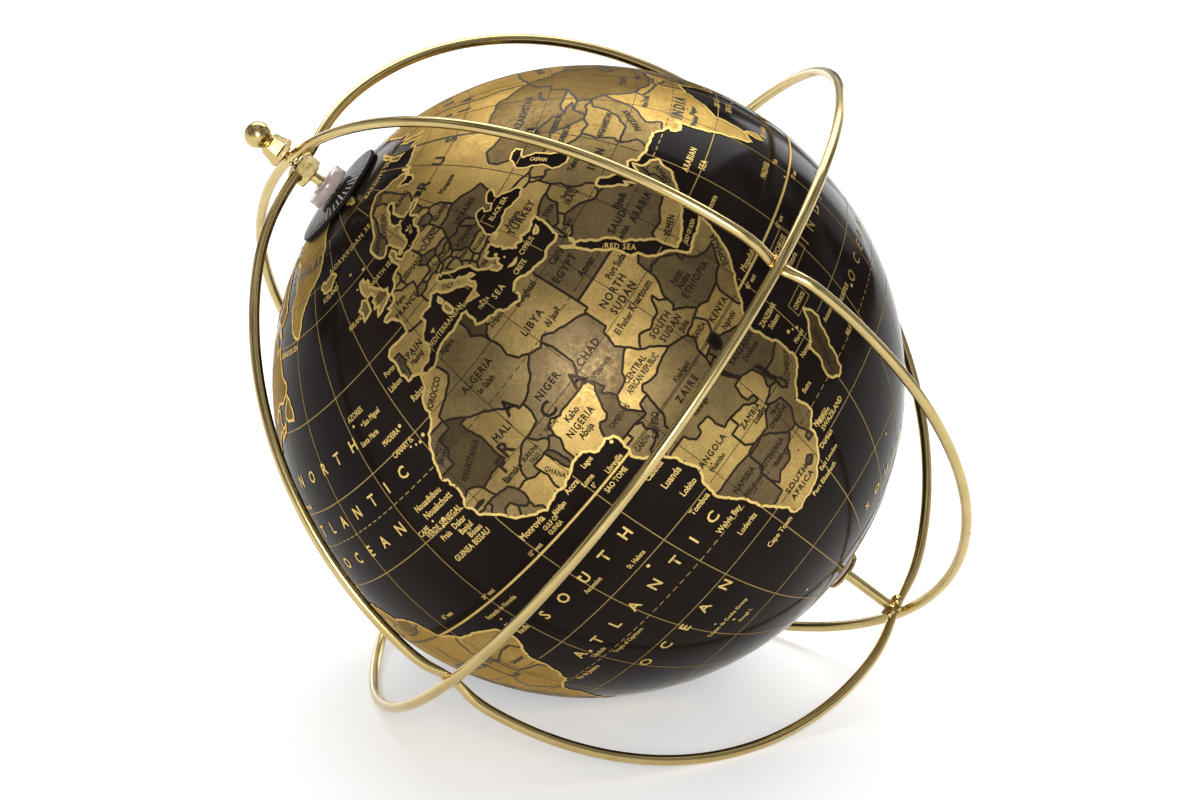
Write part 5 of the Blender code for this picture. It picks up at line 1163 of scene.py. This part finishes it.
# Graticule every 15 degrees: gold at sea, dark on land; a bold equator and dashed tropics.
sea_lines = []
ROUND = range(-180, 181)
SEA_WIDTH, LAND_LINE_WIDTH, DASH_WIDTH = FINE_WIDTH * 1.2, FINE_WIDTH * 0.8, FINE_WIDTH * 1.25
for lon in range(-180, 180, 15):
    reach = 85 if lon % 90 == 0 else 75
    line = [(lon, y) for y in range(-reach, reach + 1)]
    keep = on_land([(x + 360 if x < -169 and y > 60 else x, y) for x, y in line])
    sea_lines += [ribbon(run, SEA_WIDTH, LINE_HEIGHT) for run in kept_runs(line, ~keep)]
    ink_shapes += [ribbon(run, LAND_LINE_WIDTH, INK_HEIGHT) for run in kept_runs(line, keep)]
for lat in range(-75, 90, 15):
    line = [(x, lat) for x in ROUND]
    keep = on_land(line)
    if lat:
        sea_lines += [ribbon(run, SEA_WIDTH, LINE_HEIGHT) for run in kept_runs(line, ~keep)]
        ink_shapes += [ribbon(run, LAND_LINE_WIDTH, INK_HEIGHT) for run in kept_runs(line, keep)]
    else:
        for offset in (-0.16, 0.16):
            twin = [(x, offset) for x in ROUND]
            ink_shapes += [ribbon(run, FINE_WIDTH, INK_HEIGHT) for run in kept_runs(twin, keep)]
for lat in (-66.5, -23.5, 23.5, 66.5):
    for k in range(180):
        dash = [(-180 + 2 * k, lat), (-179.4 + 2 * k, lat), (-178.75 + 2 * k, lat)]
        keep = on_land(dash)
        if not keep.any():
            sea_lines.append(ribbon(dash, DASH_WIDTH, LINE_HEIGHT))
        elif keep.all():
            ink_shapes.append(ribbon(dash, FINE_WIDTH, INK_HEIGHT))
# Frames around island groups, as west, south, east, north.
for west, south, east, north in ((47.3, -12.1, 52.4, -9.4), (53.4, -7.6, 60.4, -1.8)):
    eighths = [i / 8 for i in range(9)]
    for y in (south, north):
        sea_lines.append(ribbon([(west + (east - west) * t, y) for t in eighths], SEA_WIDTH, LINE_HEIGHT))
    for x in (west, east):
        sea_lines.append(ribbon([(x, south + (north - south) * t) for t in eighths], SEA_WIDTH, LINE_HEIGHT))
add_piece("map_sea_lines", *merged(*sea_lines), dim_gold_and_painted_shade_print, "globe", "globe_black")
equator = [(x, 0.0) for x in ROUND]
equator_line = [ribbon(run, EQUATOR_WIDTH, GOLD_HEIGHT) for run in kept_runs(equator, ~on_land(equator))]
add_piece("map_equator_line", *merged(*equator_line), gold_print, "globe", "globe_black")


# Lettering: plain names of places, in Blender's built-in face. Gold letters get less added weight.
LETTER_HIGH = 0.61               # of a capital, as a part of the font's size
INK_WEIGHT, GOLD_WEIGHT = 0.030, 0.018


def flat_text(body, size, spacing, weight):
    """Points and faces of one line of letters, centred on the origin."""
    curve = bpy.data.curves.new("lettering", "FONT")
    curve.body = body
    curve.size = size
    curve.space_character = spacing
    curve.align_x, curve.align_y = "CENTER", "CENTER"
    curve.resolution_u = 2
    curve.offset = weight
    obj = bpy.data.objects.new("lettering", curve)
    bpy.context.scene.collection.objects.link(obj)
    bpy.context.view_layer.update()
    mesh = bpy.data.meshes.new_from_object(obj.evaluated_get(bpy.context.evaluated_depsgraph_get()))
    verts = [(v.co.x, v.co.y) for v in mesh.vertices]
    faces = [tuple(p.vertices) for p in mesh.polygons]
    bpy.data.objects.remove(obj)
    bpy.data.meshes.remove(mesh)
    return verts, faces


def label(level, body, lon, lat, height_mm, spacing=1.0, squeeze=0.75, turn=0.0):
    """Text bent onto the globe, its lines running east along the parallel unless turned."""
    size = height_mm / 1000 / LETTER_HIGH
    verts, faces = flat_text(body, size, spacing, size * (INK_WEIGHT if level < GOLD_HEIGHT else GOLD_WEIGHT))
    c, s = math.cos(turn * DEG), math.sin(turn * DEG)
    shrink = math.cos(lat * DEG)
    result = []
    for x, y in verts:
        x *= squeeze
        x, y = x * c - y * s, x * s + y * c
        result.append(place_on(lon + x / (GLOBE_R * shrink) / DEG, lat + y / GLOBE_R / DEG, level))
    return result, faces


# name|longitude|latitude|height in mm, and then, where they differ from label's own, |spacing|squeeze|turn
INK_LABELS = """ALGERIA|2.5|28.2|1.26|1.2|.9;In Salah|2.6|26|1.1|1|.8;Algiers|2.6|35.7|1.0|1|.8;
LIBYA|17|26.2|1.34|1.2|.9;Benghazi|20.8|30.2|1.25|1|.8;Tripoli|13.5|31.7|1.1|1|.8;Al Jawf|20|24|1.1|1|.8;
EGYPT|29|27|1.34|1.2|.9;Cairo|30.3|29.4|1.25|1|.8;Aswan|31.4|24.1|1.25|1|.8;Port Sudan|34.6|19.9|1.2;
NORTH|30|18|1.34|1.2|.9;SUDAN|30|15.9|1.34|1.2|.9;Khartoum|32|13.8|1.3|1|.8;El Fasher|26.2|13.5|1.1;
MALI|-2|18.7|1.34|1.2|.9;Bamako|-6.4|12.9|1.2|1|.8;NIGER|9.5|17.6|1.34|1.2|.9;Niamey|4.6|13.2|.9|1|.7;
CHAD|18.5|15.6|1.34|1.2|.9;N'Djamena|17.6|12.4|.95;ETHIOPIA|40|7.3|1.26|1.2|.85;Addis|38.4|10.2|1.15|1|.8;
Ababa|38.6|8.9|1.15|1|.8;SOUTH|29.6|8.3|1.18|1.2|.85;SUDAN|30.2|6.5|1.18|1.2|.85;Juba|31.9|4.9|1.1|1|.8;
NIGERIA|8.1|9.6|1.26|1.2|.8;GHANA|-1.4|7.6|.95|1.1|.72|-70;BURKINA|-1.6|12.9|.85|1.05|.7;
FASO|-1.6|11.7|.85|1.05|.7;Kano|8.3|11.6|1.2|1|.8;Abuja|7.6|7.9|1.15|1|.8;
MAURITANIA|-10.3|19.6|1.13|1.1|.75|24;MOROCCO|-6.6|31.9|1.2|1|.72|28;WESTERN|-12.6|25.2|1.0|1|.68|22;
SAHARA|-13.4|23.6|1.0|1|.68|22;CENTRAL|20.8|7.6|1.15|1.05;AFRICAN REPUBLIC|21|6.1|1.1|1|.58;
CAMEROON|12.9|5|.95|1|.62;CONGO|15.3|-.8|1.2|1|.7|40;ZAIRE|23.4|-1.6|1.26|1.4|.85;Kisangani|25.2|.9|1;
Kananga|22.4|-5.2|1;GABON|11.6|-.9|.95|1|.7;UGANDA|32.4|2.2|1|1|.65;KENYA|37.9|1.3|1.18|1.2|.85;
Nairobi|37.5|-1.2|1.1;TANZANIA|34.9|-5.7|1.13|1.1|.8;Dodoma|35.6|-7.4|1.05;ANGOLA|17.6|-11.8|1.18|1.2|.85;
Huambo|16.6|-13.8|1;ZAMBIA|26.6|-13.9|1.09|1.2|.8;Lusaka|27.8|-15.3|1.1;ZIMBABWE|29.9|-18.6|1.0|1|.66;
Harare|30.6|-17.2|.9|1|.7;BOTSWANA|23.9|-21.8|1.1;Gaborone|24.7|-23.8|.9|1|.72;NAMIBIA|17|-20.2|1.2|1.05;
Windhoek|17.3|-22.5|1.05;SOUTH|23.6|-29.7|1.26|1.2|.85;AFRICA|23.6|-31.7|1.26|1.2|.85;
MOZAMBIQUE|38|-14.9|1.0|1|.62|40;MADAGASCAR|46.6|-19.2|1.1|1|.66|72;SOMALIA|47.6|6.3|1.2|1.05|.8|52;
SAUDI|42.6|23.6|1.34|1.2|.9;ARABIA|47.4|21.4|1.34|1.2|.9;Jeddah|40.9|21.8|1|1|.8;
Riyadh|46.7|25.1|1.2|1|.8;YEMEN|46.6|15.6|1.15|1.1|.8|14;OMAN|56.6|20.6|1.1|1.1|.8|55;
IRAQ|43.5|32.8|1.09|1.2|.85;Baghdad|44.2|34|.9|1|.7;IRAN|54.6|32.2|1.43|1.4|.9;Tehran|51.8|35.4|1.1|1|.8;
SYRIA|38.6|35|1;JORDAN|36.9|30.8|.9|1|.66;TURKEY|34.6|38.5|1.34|1.2|.9;Ankara|33.4|39.9|1.1|1|.8;
GREECE|22.2|39.6|.8|1|.6;ITALY|12.6|42.7|.9|1|.65|-42;SPAIN|-3.7|40.2|1.18|1.2|.9;Madrid|-3.9|38.6|1;
PORTUGAL|-8|39.7|.8|1|.6|75;FRANCE|2.6|46.9|1.09|1.2|.85;Paris|2.3|48.6|1;GERMANY|10.4|51|1.1|1|.72;
POLAND|19.4|51.7|1.2|1.05|.8;Warsaw|20.6|52.7|.9;UKRAINE|31|49|1.09|1.1|.8;BELARUS|28|53.4|.95|1|.7;
ROMANIA|25|45.9|1|1|.72;BULGARIA|25.2|42.7|.8|1|.62;SERBIA|21|43.9|.7|1|.6;HUNGARY|19.4|47.1|.8|1|.62;
AUSTRIA|14.2|47.4|.75|1|.62;SWEDEN|15.6|63.3|1.2|1.05|.8|55;NORWAY|8.8|61.4|1|1|.7|45;
FINLAND|26.6|63.7|1.1;UNITED|-1.6|53|.7|1|.55;KINGDOM|-1.2|52.2|.7|1|.55;R U S S I A|62|60.5|2.3|1.8|1;
Moscow|37.6|55.8|1.1|1|.8;S I B E R I A|105|64|2|1.6|1;KAZAKHSTAN|67.5|48.3|1.34|1.2|.85;
UZBEKISTAN|63.6|41.7|1|1|.68;TURKMENISTAN|59.5|39.4|1|1|.62;AFGHANISTAN|65.5|33.4|1.1|1|.68;
PAKISTAN|69|29.3|1.2|1.05|.75|35;INDIA|78.8|22|2|1.4|.9;Mumbai|75.4|18.9|1|1|.8;Nagpur|79.2|19.6|1|1|.8;
New Delhi|77.6|28|1;CHINA|103|35|2.4|1.7|.95;Lhasa|91.2|29.9|1|1|.8;Beijing|115.4|40.3|1.1|1|.8;
TIBET|87|32.4|1.09|1.5|.9;MONGOLIA|103.5|46.6|1.34|1.3|.85;MYANMAR|96.4|21.4|1|1|.62;
THAILAND|101.2|15.6|1|1|.66;VIETNAM|107.6|13.2|.7|1|.5|70;KOREA|127.7|36.5|.9|1|.6;
JAPAN|138.2|36.2|1|1.1|.7|40;BORNEO|114|.6|1.09|1.2|.8;AUSTRALIA|134|-25.4|2.6|1.5|1;
Alice Springs|133.9|-23.2|1|1|.8;Perth|118.4|-31.6|1.1|1|.8;Sydney|148.3|-33.4|1.1|1|.8;
NEW GUINEA|139|-5|1.1|1|.7|-14;SUMATRA|101.8|-.8|.9|1|.65|-48;CANADA|-105|58|2.6|1.7|1;
UNITED STATES|-99|39.8|2.1|1.2|.85;ALASKA|-152|65.5|1.18|1.2|.8;MEXICO|-102.5|24.4|1.26|1.2|.85|-30;
Denver|-104.6|38|1|1|.8;New York|-77.6|41.4|1|1|.7;Ottawa|-77|46.4|1;BRAZIL|-53|-9.5|2.4|1.6|1;
Brasilia|-48.6|-15.6|1|1|.8;Salvador|-41.6|-12.6|1|1|.8;PERU|-74.8|-9|1.26|1.3|.85|-40;
BOLIVIA|-64.6|-16.8|1.2|1.1|.8;COLOMBIA|-73|4.2|1.2|1.05;VENEZUELA|-65.6|7.2|1.1;
ARGENTINA|-65.6|-34.5|1.34|1.2|.85|70;CHILE|-71.2|-27|.8|1|.6|85;PARAGUAY|-58.4|-23|.8|1|.6|-30;
URUGUAY|-56|-32.8|.8|1|.6;GUYANA|-58.9|4.6|.8|1|.6|80;GREENLAND|-41|72.5|1.9|1.3|.85;
ANTARCTICA|60|-77|2|1.6|1;ANTARCTICA|-120|-79|2|1.6|1;A|2.2|20.6|2.6|1|1;F|-6.6|14.9|2.6|1|1;
R|-4|16.4|2.6|1|1;C|6.3|15|2.6|1|1;A|13.4|14.6|2.6|1|1"""
GOLD_LABELS = """N O R T H|-45|36|2.1|1.9|1;A T L A N T I C|-44|26.4|2.1|1.9|1;
O C E A N|-44.5|19.6|2.1|1.9|1;S O U T H|-14|-8.7|2.1|1.9|1;A T L A N T I C|-11.6|-19.7|2.1|1.9|1;
O C E A N|-15.3|-31.8|2.1|1.9|1;N O R T H|-150|34|2.1|1.9|1;P A C I F I C|-152|24|2.1|1.9|1;
O C E A N|-152|13|2.1|1.9|1;S O U T H|-120|-18|2.1|1.9|1;P A C I F I C|-121|-27|2.1|1.9|1;
O C E A N|-122|-38|2.1|1.9|1;S O U T H E R N   O C E A N|80|-55|1.9|1.5|1;
P A C I F I C   O C E A N|160|8|1.8|1.6|1;MEDITERRANEAN|5.6|38.3|.95|1.1|.8|2;SEA|18.2|34.3|1.1|1.3|.9;
RED SEA|38|21|1.05|1.2|.8|-62;BLACK SEA|34.6|43.3|.9|1.05;ARABIAN|63|17.5|1.15|1.2|.85;
SEA|63|15|1.15|1.2|.85;BAY OF|88|15.2|1.1|1.1|.8;BENGAL|88|13|1.1|1.1|.8;GULF OF|-9|2.5|.85;
GUINEA|-9.2|1.3|.85;Nouadhibou|-22.6|20.2|1.15|1.02|.84;Nouakchott|-21.8|18.3|1.25|1.02|.84;
CAPE|-28.3|16.6|1.05|1.05|.8;VERDE|-26.6|15.6|1.05|1.05|.8;SENEGAL|-21.2|15.6|1.1|1.05|.85;
Dakar|-20.9|13.8|1.1|1.02|.84;Banjul|-20.7|12.3|1.1|1.02|.84;Bissau|-19.8|10.9|1.1|1.02|.84;
GUINEA BISSAU|-22.6|9.4|1.1|1.05|.84;Praia|-25|13.6|1.05|1.02|.84;Monrovia|-12|4.2|1.25|1.02|.84;
Abidjan|-6|3.1|.95;Accra|-1.6|3.9|1.1|1|.8;Lagos|3.4|4.6|.95;Lome|1|2.5|1|1|.8;Rabat|-9|34.2|1.2|1|.78;
CANARY IS.|-19.4|29.6|1;MADEIRA|-20.4|32.4|1;AZORES|-26|40|1.05|1|.78;Sao Miguel|-22|37.6|1;
Santa Maria|-25.4|35|1;Libreville|6|.9|1;SAO TOME|4|-1.2|1;Cabinda|9|-5.4|1.1|1|.78;
Luanda|9.8|-8.6|1.35|1|.78;Lobito|10.2|-12.2|1.2|1|.78;Tombua|8.9|-15.9|1.2|1|.78;
Walvis Bay|9.6|-22.6|1.2|1|.78;Luderitz|10.8|-26.4|1.2|1|.78;Cape Town|13.2|-34|1.2|1|.78;
Port Elizabeth|28|-35.6|1.1|1|.78;Durban|34|-30.4|1.1|1|.78;Maputo|36|-26.4|1.1|1|.78;
SWAZILAND|38.6|-28.4|1.1|1|.78;Beira|38|-20.4|1|1|.78;Ascension|-14.5|-10.8|.95;St. Helena|-5.8|-13.4|.95;
Trindade|-29|-22|.95;Tropic of Capricorn|-23|-24.4|.85|1.05;Tristan da Cunha Group|-10|-38.6|.9|1|.8;
Gough I.|-8|-42|.85|1|.8;Mogadishu|49.6|1|1.15|1|.78;Mombasa|42.8|-4.2|1|1|.78;SEYCHELLES|56|-3|1;
ZANZIBAR|43|-6.8|1;Salaam|42.9|-8.4|1|1|.78;Moroni|44.2|-13.9|.9;Nampula|43.6|-16.4|1;Mbabane|36.6|-27|1;
East London|31.8|-33.4|1;Victoria|55.8|-6.2|1;COMOROS|49.8|-10.8|.9|1|.62;MAURITIUS|59.6|-18.6|1;
REUNION|55.8|-23|.95;Antananarivo|53.6|-17.2|.95|1|.72;MALDIVES|71|4.4|1.05;Male|75.6|3|.9;
Socotra|55.6|11|1|1|.78;GULF OF ADEN|47.6|12.2|.75|1|.7|8;CYPRUS|29.4|34.9|.95;CRETE|24.8|33.7|.95;
MALTA|14.6|35.2|.75|1|.7;Tunis|11.7|38|.85|1|.7;Lisbon|-12|38.4|1.1|1|.78;Porto|-11.2|41|1|1|.78;
IRELAND|-12.6|53|.95|1|.7;NORTH SEA|3.4|56|.95|1.1;BALTIC|19.4|57|.7|1|.6|60;
NORWEGIAN SEA|-1|67|1.1|1.2|.85;BARENTS SEA|40|74|1.1|1.2|.85;ICELAND|-19|62.5|1;
CASPIAN|50.6|41.6|.8|1|.65|-80;SRI LANKA|84.6|6|1|1|.78;SOUTH CHINA SEA|114|13.8|1.1|1.1|.8;
PHILIPPINE SEA|132|20|1.1|1.1|.8;CORAL SEA|154|-16|1.1|1.1|.8;TASMAN SEA|160|-38|1.1|1.1|.8;
NEW ZEALAND|180|-41|1.1|1.1|.8;Hong Kong|117|20.6|1|1|.78;Tokyo|143.6|35.4|1.1|1|.78;
Hawaii|-152.6|19|1.1|1|.78;CARIBBEAN SEA|-74.5|14.8|1.05|1.15|.8;GULF OF MEXICO|-91|25|1.05|1.1;
Bermuda|-61|31.4|.95;CUBA|-79|24|.9;HUDSON BAY|-86|59.6|1|1.05;LABRADOR SEA|-53|58.6|1|1.1|.8;
Recife|-31.6|-8|1.1|1|.78;Natal|-32|-5.6|1.1|1|.78;Fernando de Noronha|-30|-2.2|.9;
Rio de Janeiro|-37|-24.4|1.1;Buenos Aires|-53|-36.6|1.1;FALKLAND IS.|-54|-53|1;Lima|-80|-12.4|1.1|1|.78;
Galapagos|-91|1.6|1;EASTER I.|-109|-29|.95;TAHITI|-149.5|-19.6|.95;FIJI|178|-20|.95;
15° west|-15|1.2|.85|1|.78;0°|1|1.1|.85|1|.8;45° east|46|-1.2|.85|1|.78;60° east|61|-1.2|.85|1|.78;
75° east|76|-1.2|.85|1|.78;30° west|-29|1.2|.85|1|.78;45° west|-41|2.6|.85|1|.78"""
# Painted shade: the Indian Ocean names use the same gold ink as the other oceans, printed dimmer to stand in
# for the light falling off on that side of the globe.
PAINTED_SHADE_LABELS = "I N D I A N|74|-7|2.1|1.7|1;O C E A N|76|-19|2.1|1.7|1"
CITY_DOTS = """2.6,27.2 3,36.6 20.1,31.9 13.2,32.6 21.5,24.6 31.2,30 32.9,24 37,19.6 32.5,15.2 25.4,14.2
-8,12.4 2.1,13.5 15.1,12.1 38.8,9.3 31.6,5.9 8.5,12.2 7.5,8.7 25.2,1.5 22.4,-4.4 36.8,-1.9 35.8,-6.7
15.8,-13 28.3,-14.7 31,-17.8 25.9,-24.5 17.1,-23.3 28,-26.2 18.6,-33.7 39.3,21.4 46.7,24.6 44.4,33.4
51.4,35.8 32.9,39.4 -3.7,39.5 2.4,48.9 13.4,52.5 21,52.2 30.5,50.4 37.6,55.3 26.1,44.5 24.9,60.3 18.1,59.4
67,25 72.9,19.4 79.1,20.6 77.2,28.7 91.1,29.3 116.4,39.7 126.9,37.5 139.7,35.7 106.9,47.9 100.5,14 96.2,17
133.9,-24.1 116,-31.9 151,-33.6 -105,39.4 -74.3,40.9 -75.7,45.6 -99.1,19.5 -47.9,-15.9 -38.6,-12.9
-46.6,-23.5 -58.6,-34.4 -70.7,-33.4 -77,-11.9 -74.1,4.7 -66.9,10.4 -16,18.4 -17,20.9 -17.2,14.8 -13.1,8.6
-10.7,6.5 -4,5.5 -.2,5.8 3.4,6.7 13.4,-8.7 13.6,-12 14.6,-22.7 15.3,-26.4 32.4,-26 34.8,-19.6 45.2,2.2"""


def labels(table, level):
    """Every label of a table, at one height above the ball."""
    shapes = []
    for row in table.split(";"):
        body, *numbers = row.strip().split("|")
        shapes.append(label(level, body, *(float(v) for v in numbers)))
    return shapes


STACK = 0.00001                  # between printed layers that overlap
CITY_R = 0.00022
ink_shapes += labels(INK_LABELS, INK_HEIGHT + STACK)
ink_shapes += [dot(x, y, CITY_R, INK_HEIGHT + 2 * STACK, 8) for x, y in read_points(CITY_DOTS)]
add_piece("map_ink", *merged(*ink_shapes), ink, "globe", "globe_black")
# The Indian Ocean lettering in the dim gold, as painted shade.
add_piece("map_lettering_painted_shade", *merged(*labels(PAINTED_SHADE_LABELS, GOLD_HEIGHT + STACK)), dim_gold_and_painted_shade_print, "globe",
          "globe_black")
add_piece("map_gold_lettering", *merged(*labels(GOLD_LABELS, GOLD_HEIGHT + STACK)), gold_print, "globe",
          "globe_black")

# --- studio ----------------------------------------------------------------------------------------------
FLOOR_HALF, FLOOR_Z = 6, -0.0001
floor_mesh = bpy.data.meshes.new("floor")
corners = ((-1, -1), (1, -1), (1, 1), (-1, 1))
floor_mesh.from_pydata([(x * FLOOR_HALF, y * FLOOR_HALF, FLOOR_Z) for x, y in corners], [], [(0, 1, 2, 3)])
floor_mesh.materials.append(stage_material())
floor = bpy.data.objects.new("floor", floor_mesh)
bpy.context.scene.collection.objects.link(floor)

world = bpy.data.worlds.new("studio")
bpy.context.scene.world = world
world.use_nodes = True
tree = world.node_tree
background = tree.nodes["Background"]
background.inputs["Strength"].default_value = 1.0
rays = tree.nodes.new("ShaderNodeLightPath")
# Everything but the camera sees soft light and dark patches, which give the brass its streaks.
PATCH_SCALE, PATCH_EDGES, PATCH_TONES, BACKDROP = 3.8, (0.44, 0.56), (0.06, 0.76), 0.97
around = tree.nodes.new("ShaderNodeTexCoord")
patches = tree.nodes.new("ShaderNodeTexNoise")
patches.inputs["Scale"].default_value = PATCH_SCALE
patches.inputs["Detail"].default_value = 1.0
tree.links.new(around.outputs["Generated"], patches.inputs["Vector"])
cards = tree.nodes.new("ShaderNodeValToRGB")
for element, at, tone in zip(cards.color_ramp.elements, PATCH_EDGES, PATCH_TONES):
    element.position = at
    element.color = (tone, tone, tone, 1.0)
tree.links.new(patches.outputs["Fac"], cards.inputs["Fac"])
pick = tree.nodes.new("ShaderNodeMix")
pick.data_type = "RGBA"
tree.links.new(cards.outputs["Color"], pick.inputs[6])
pick.inputs[7].default_value = (BACKDROP, BACKDROP, BACKDROP, 1.0)
tree.links.new(rays.outputs["Is Camera Ray"], pick.inputs[0])
tree.links.new(pick.outputs[2], background.inputs["Color"])


MIDDLE = Vector((0.0, 0.0, 0.066))


def softbox(name, place, width, height, power, shape="RECTANGLE"):
    """An area light that faces the middle of the globe."""
    light = bpy.data.lights.new(name, "AREA")
    light.shape = shape
    light.size, light.size_y = width, height
    light.energy = power
    obj = bpy.data.objects.new(name, light)
    bpy.context.scene.collection.objects.link(obj)
    obj.location = place
    obj.rotation_euler = (MIDDLE - Vector(place)).to_track_quat("-Z", "Y").to_euler()


softbox("top_box", (0.0, 0.75, 1.1), 1.4, 0.7, 12.0)
softbox("front_box", (0.02, -1.30, 0.50), 0.45, 0.45, 8.5, "DISK")
softbox("right_box", (0.75, 1.6, 0.35), 0.4, 0.8, 2.0)
softbox("left_box", (-0.75, 1.6, 0.35), 0.4, 0.8, 2.0)
softbox("front_panel", (0.0, -1.7, 0.8), 1.6, 1.0, 4.5)

camera_data = bpy.data.cameras.new("camera")
camera_data.sensor_width = 36.0
camera_data.lens = 116.4
camera_data.clip_start, camera_data.clip_end = 0.05, 30.0
camera = bpy.data.objects.new("camera", camera_data)
bpy.context.scene.collection.objects.link(camera)
# The camera looks down by PITCH, leans by ROLL, and its place is measured from the globe's centre.
PITCH, ROLL = math.radians(17.20046), math.radians(1.87263)
CAMERA_PLACE = Vector((0.002404, -0.765464, 0.233064))
camera.matrix_world = Matrix.Translation(REST.translation + CAMERA_PLACE) @ \
    Matrix.Rotation(math.pi / 2 - PITCH, 4, "X") @ Matrix.Rotation(ROLL, 4, "Z")
bpy.context.scene.camera = camera
bpy.context.scene.view_settings.view_transform = "Standard"
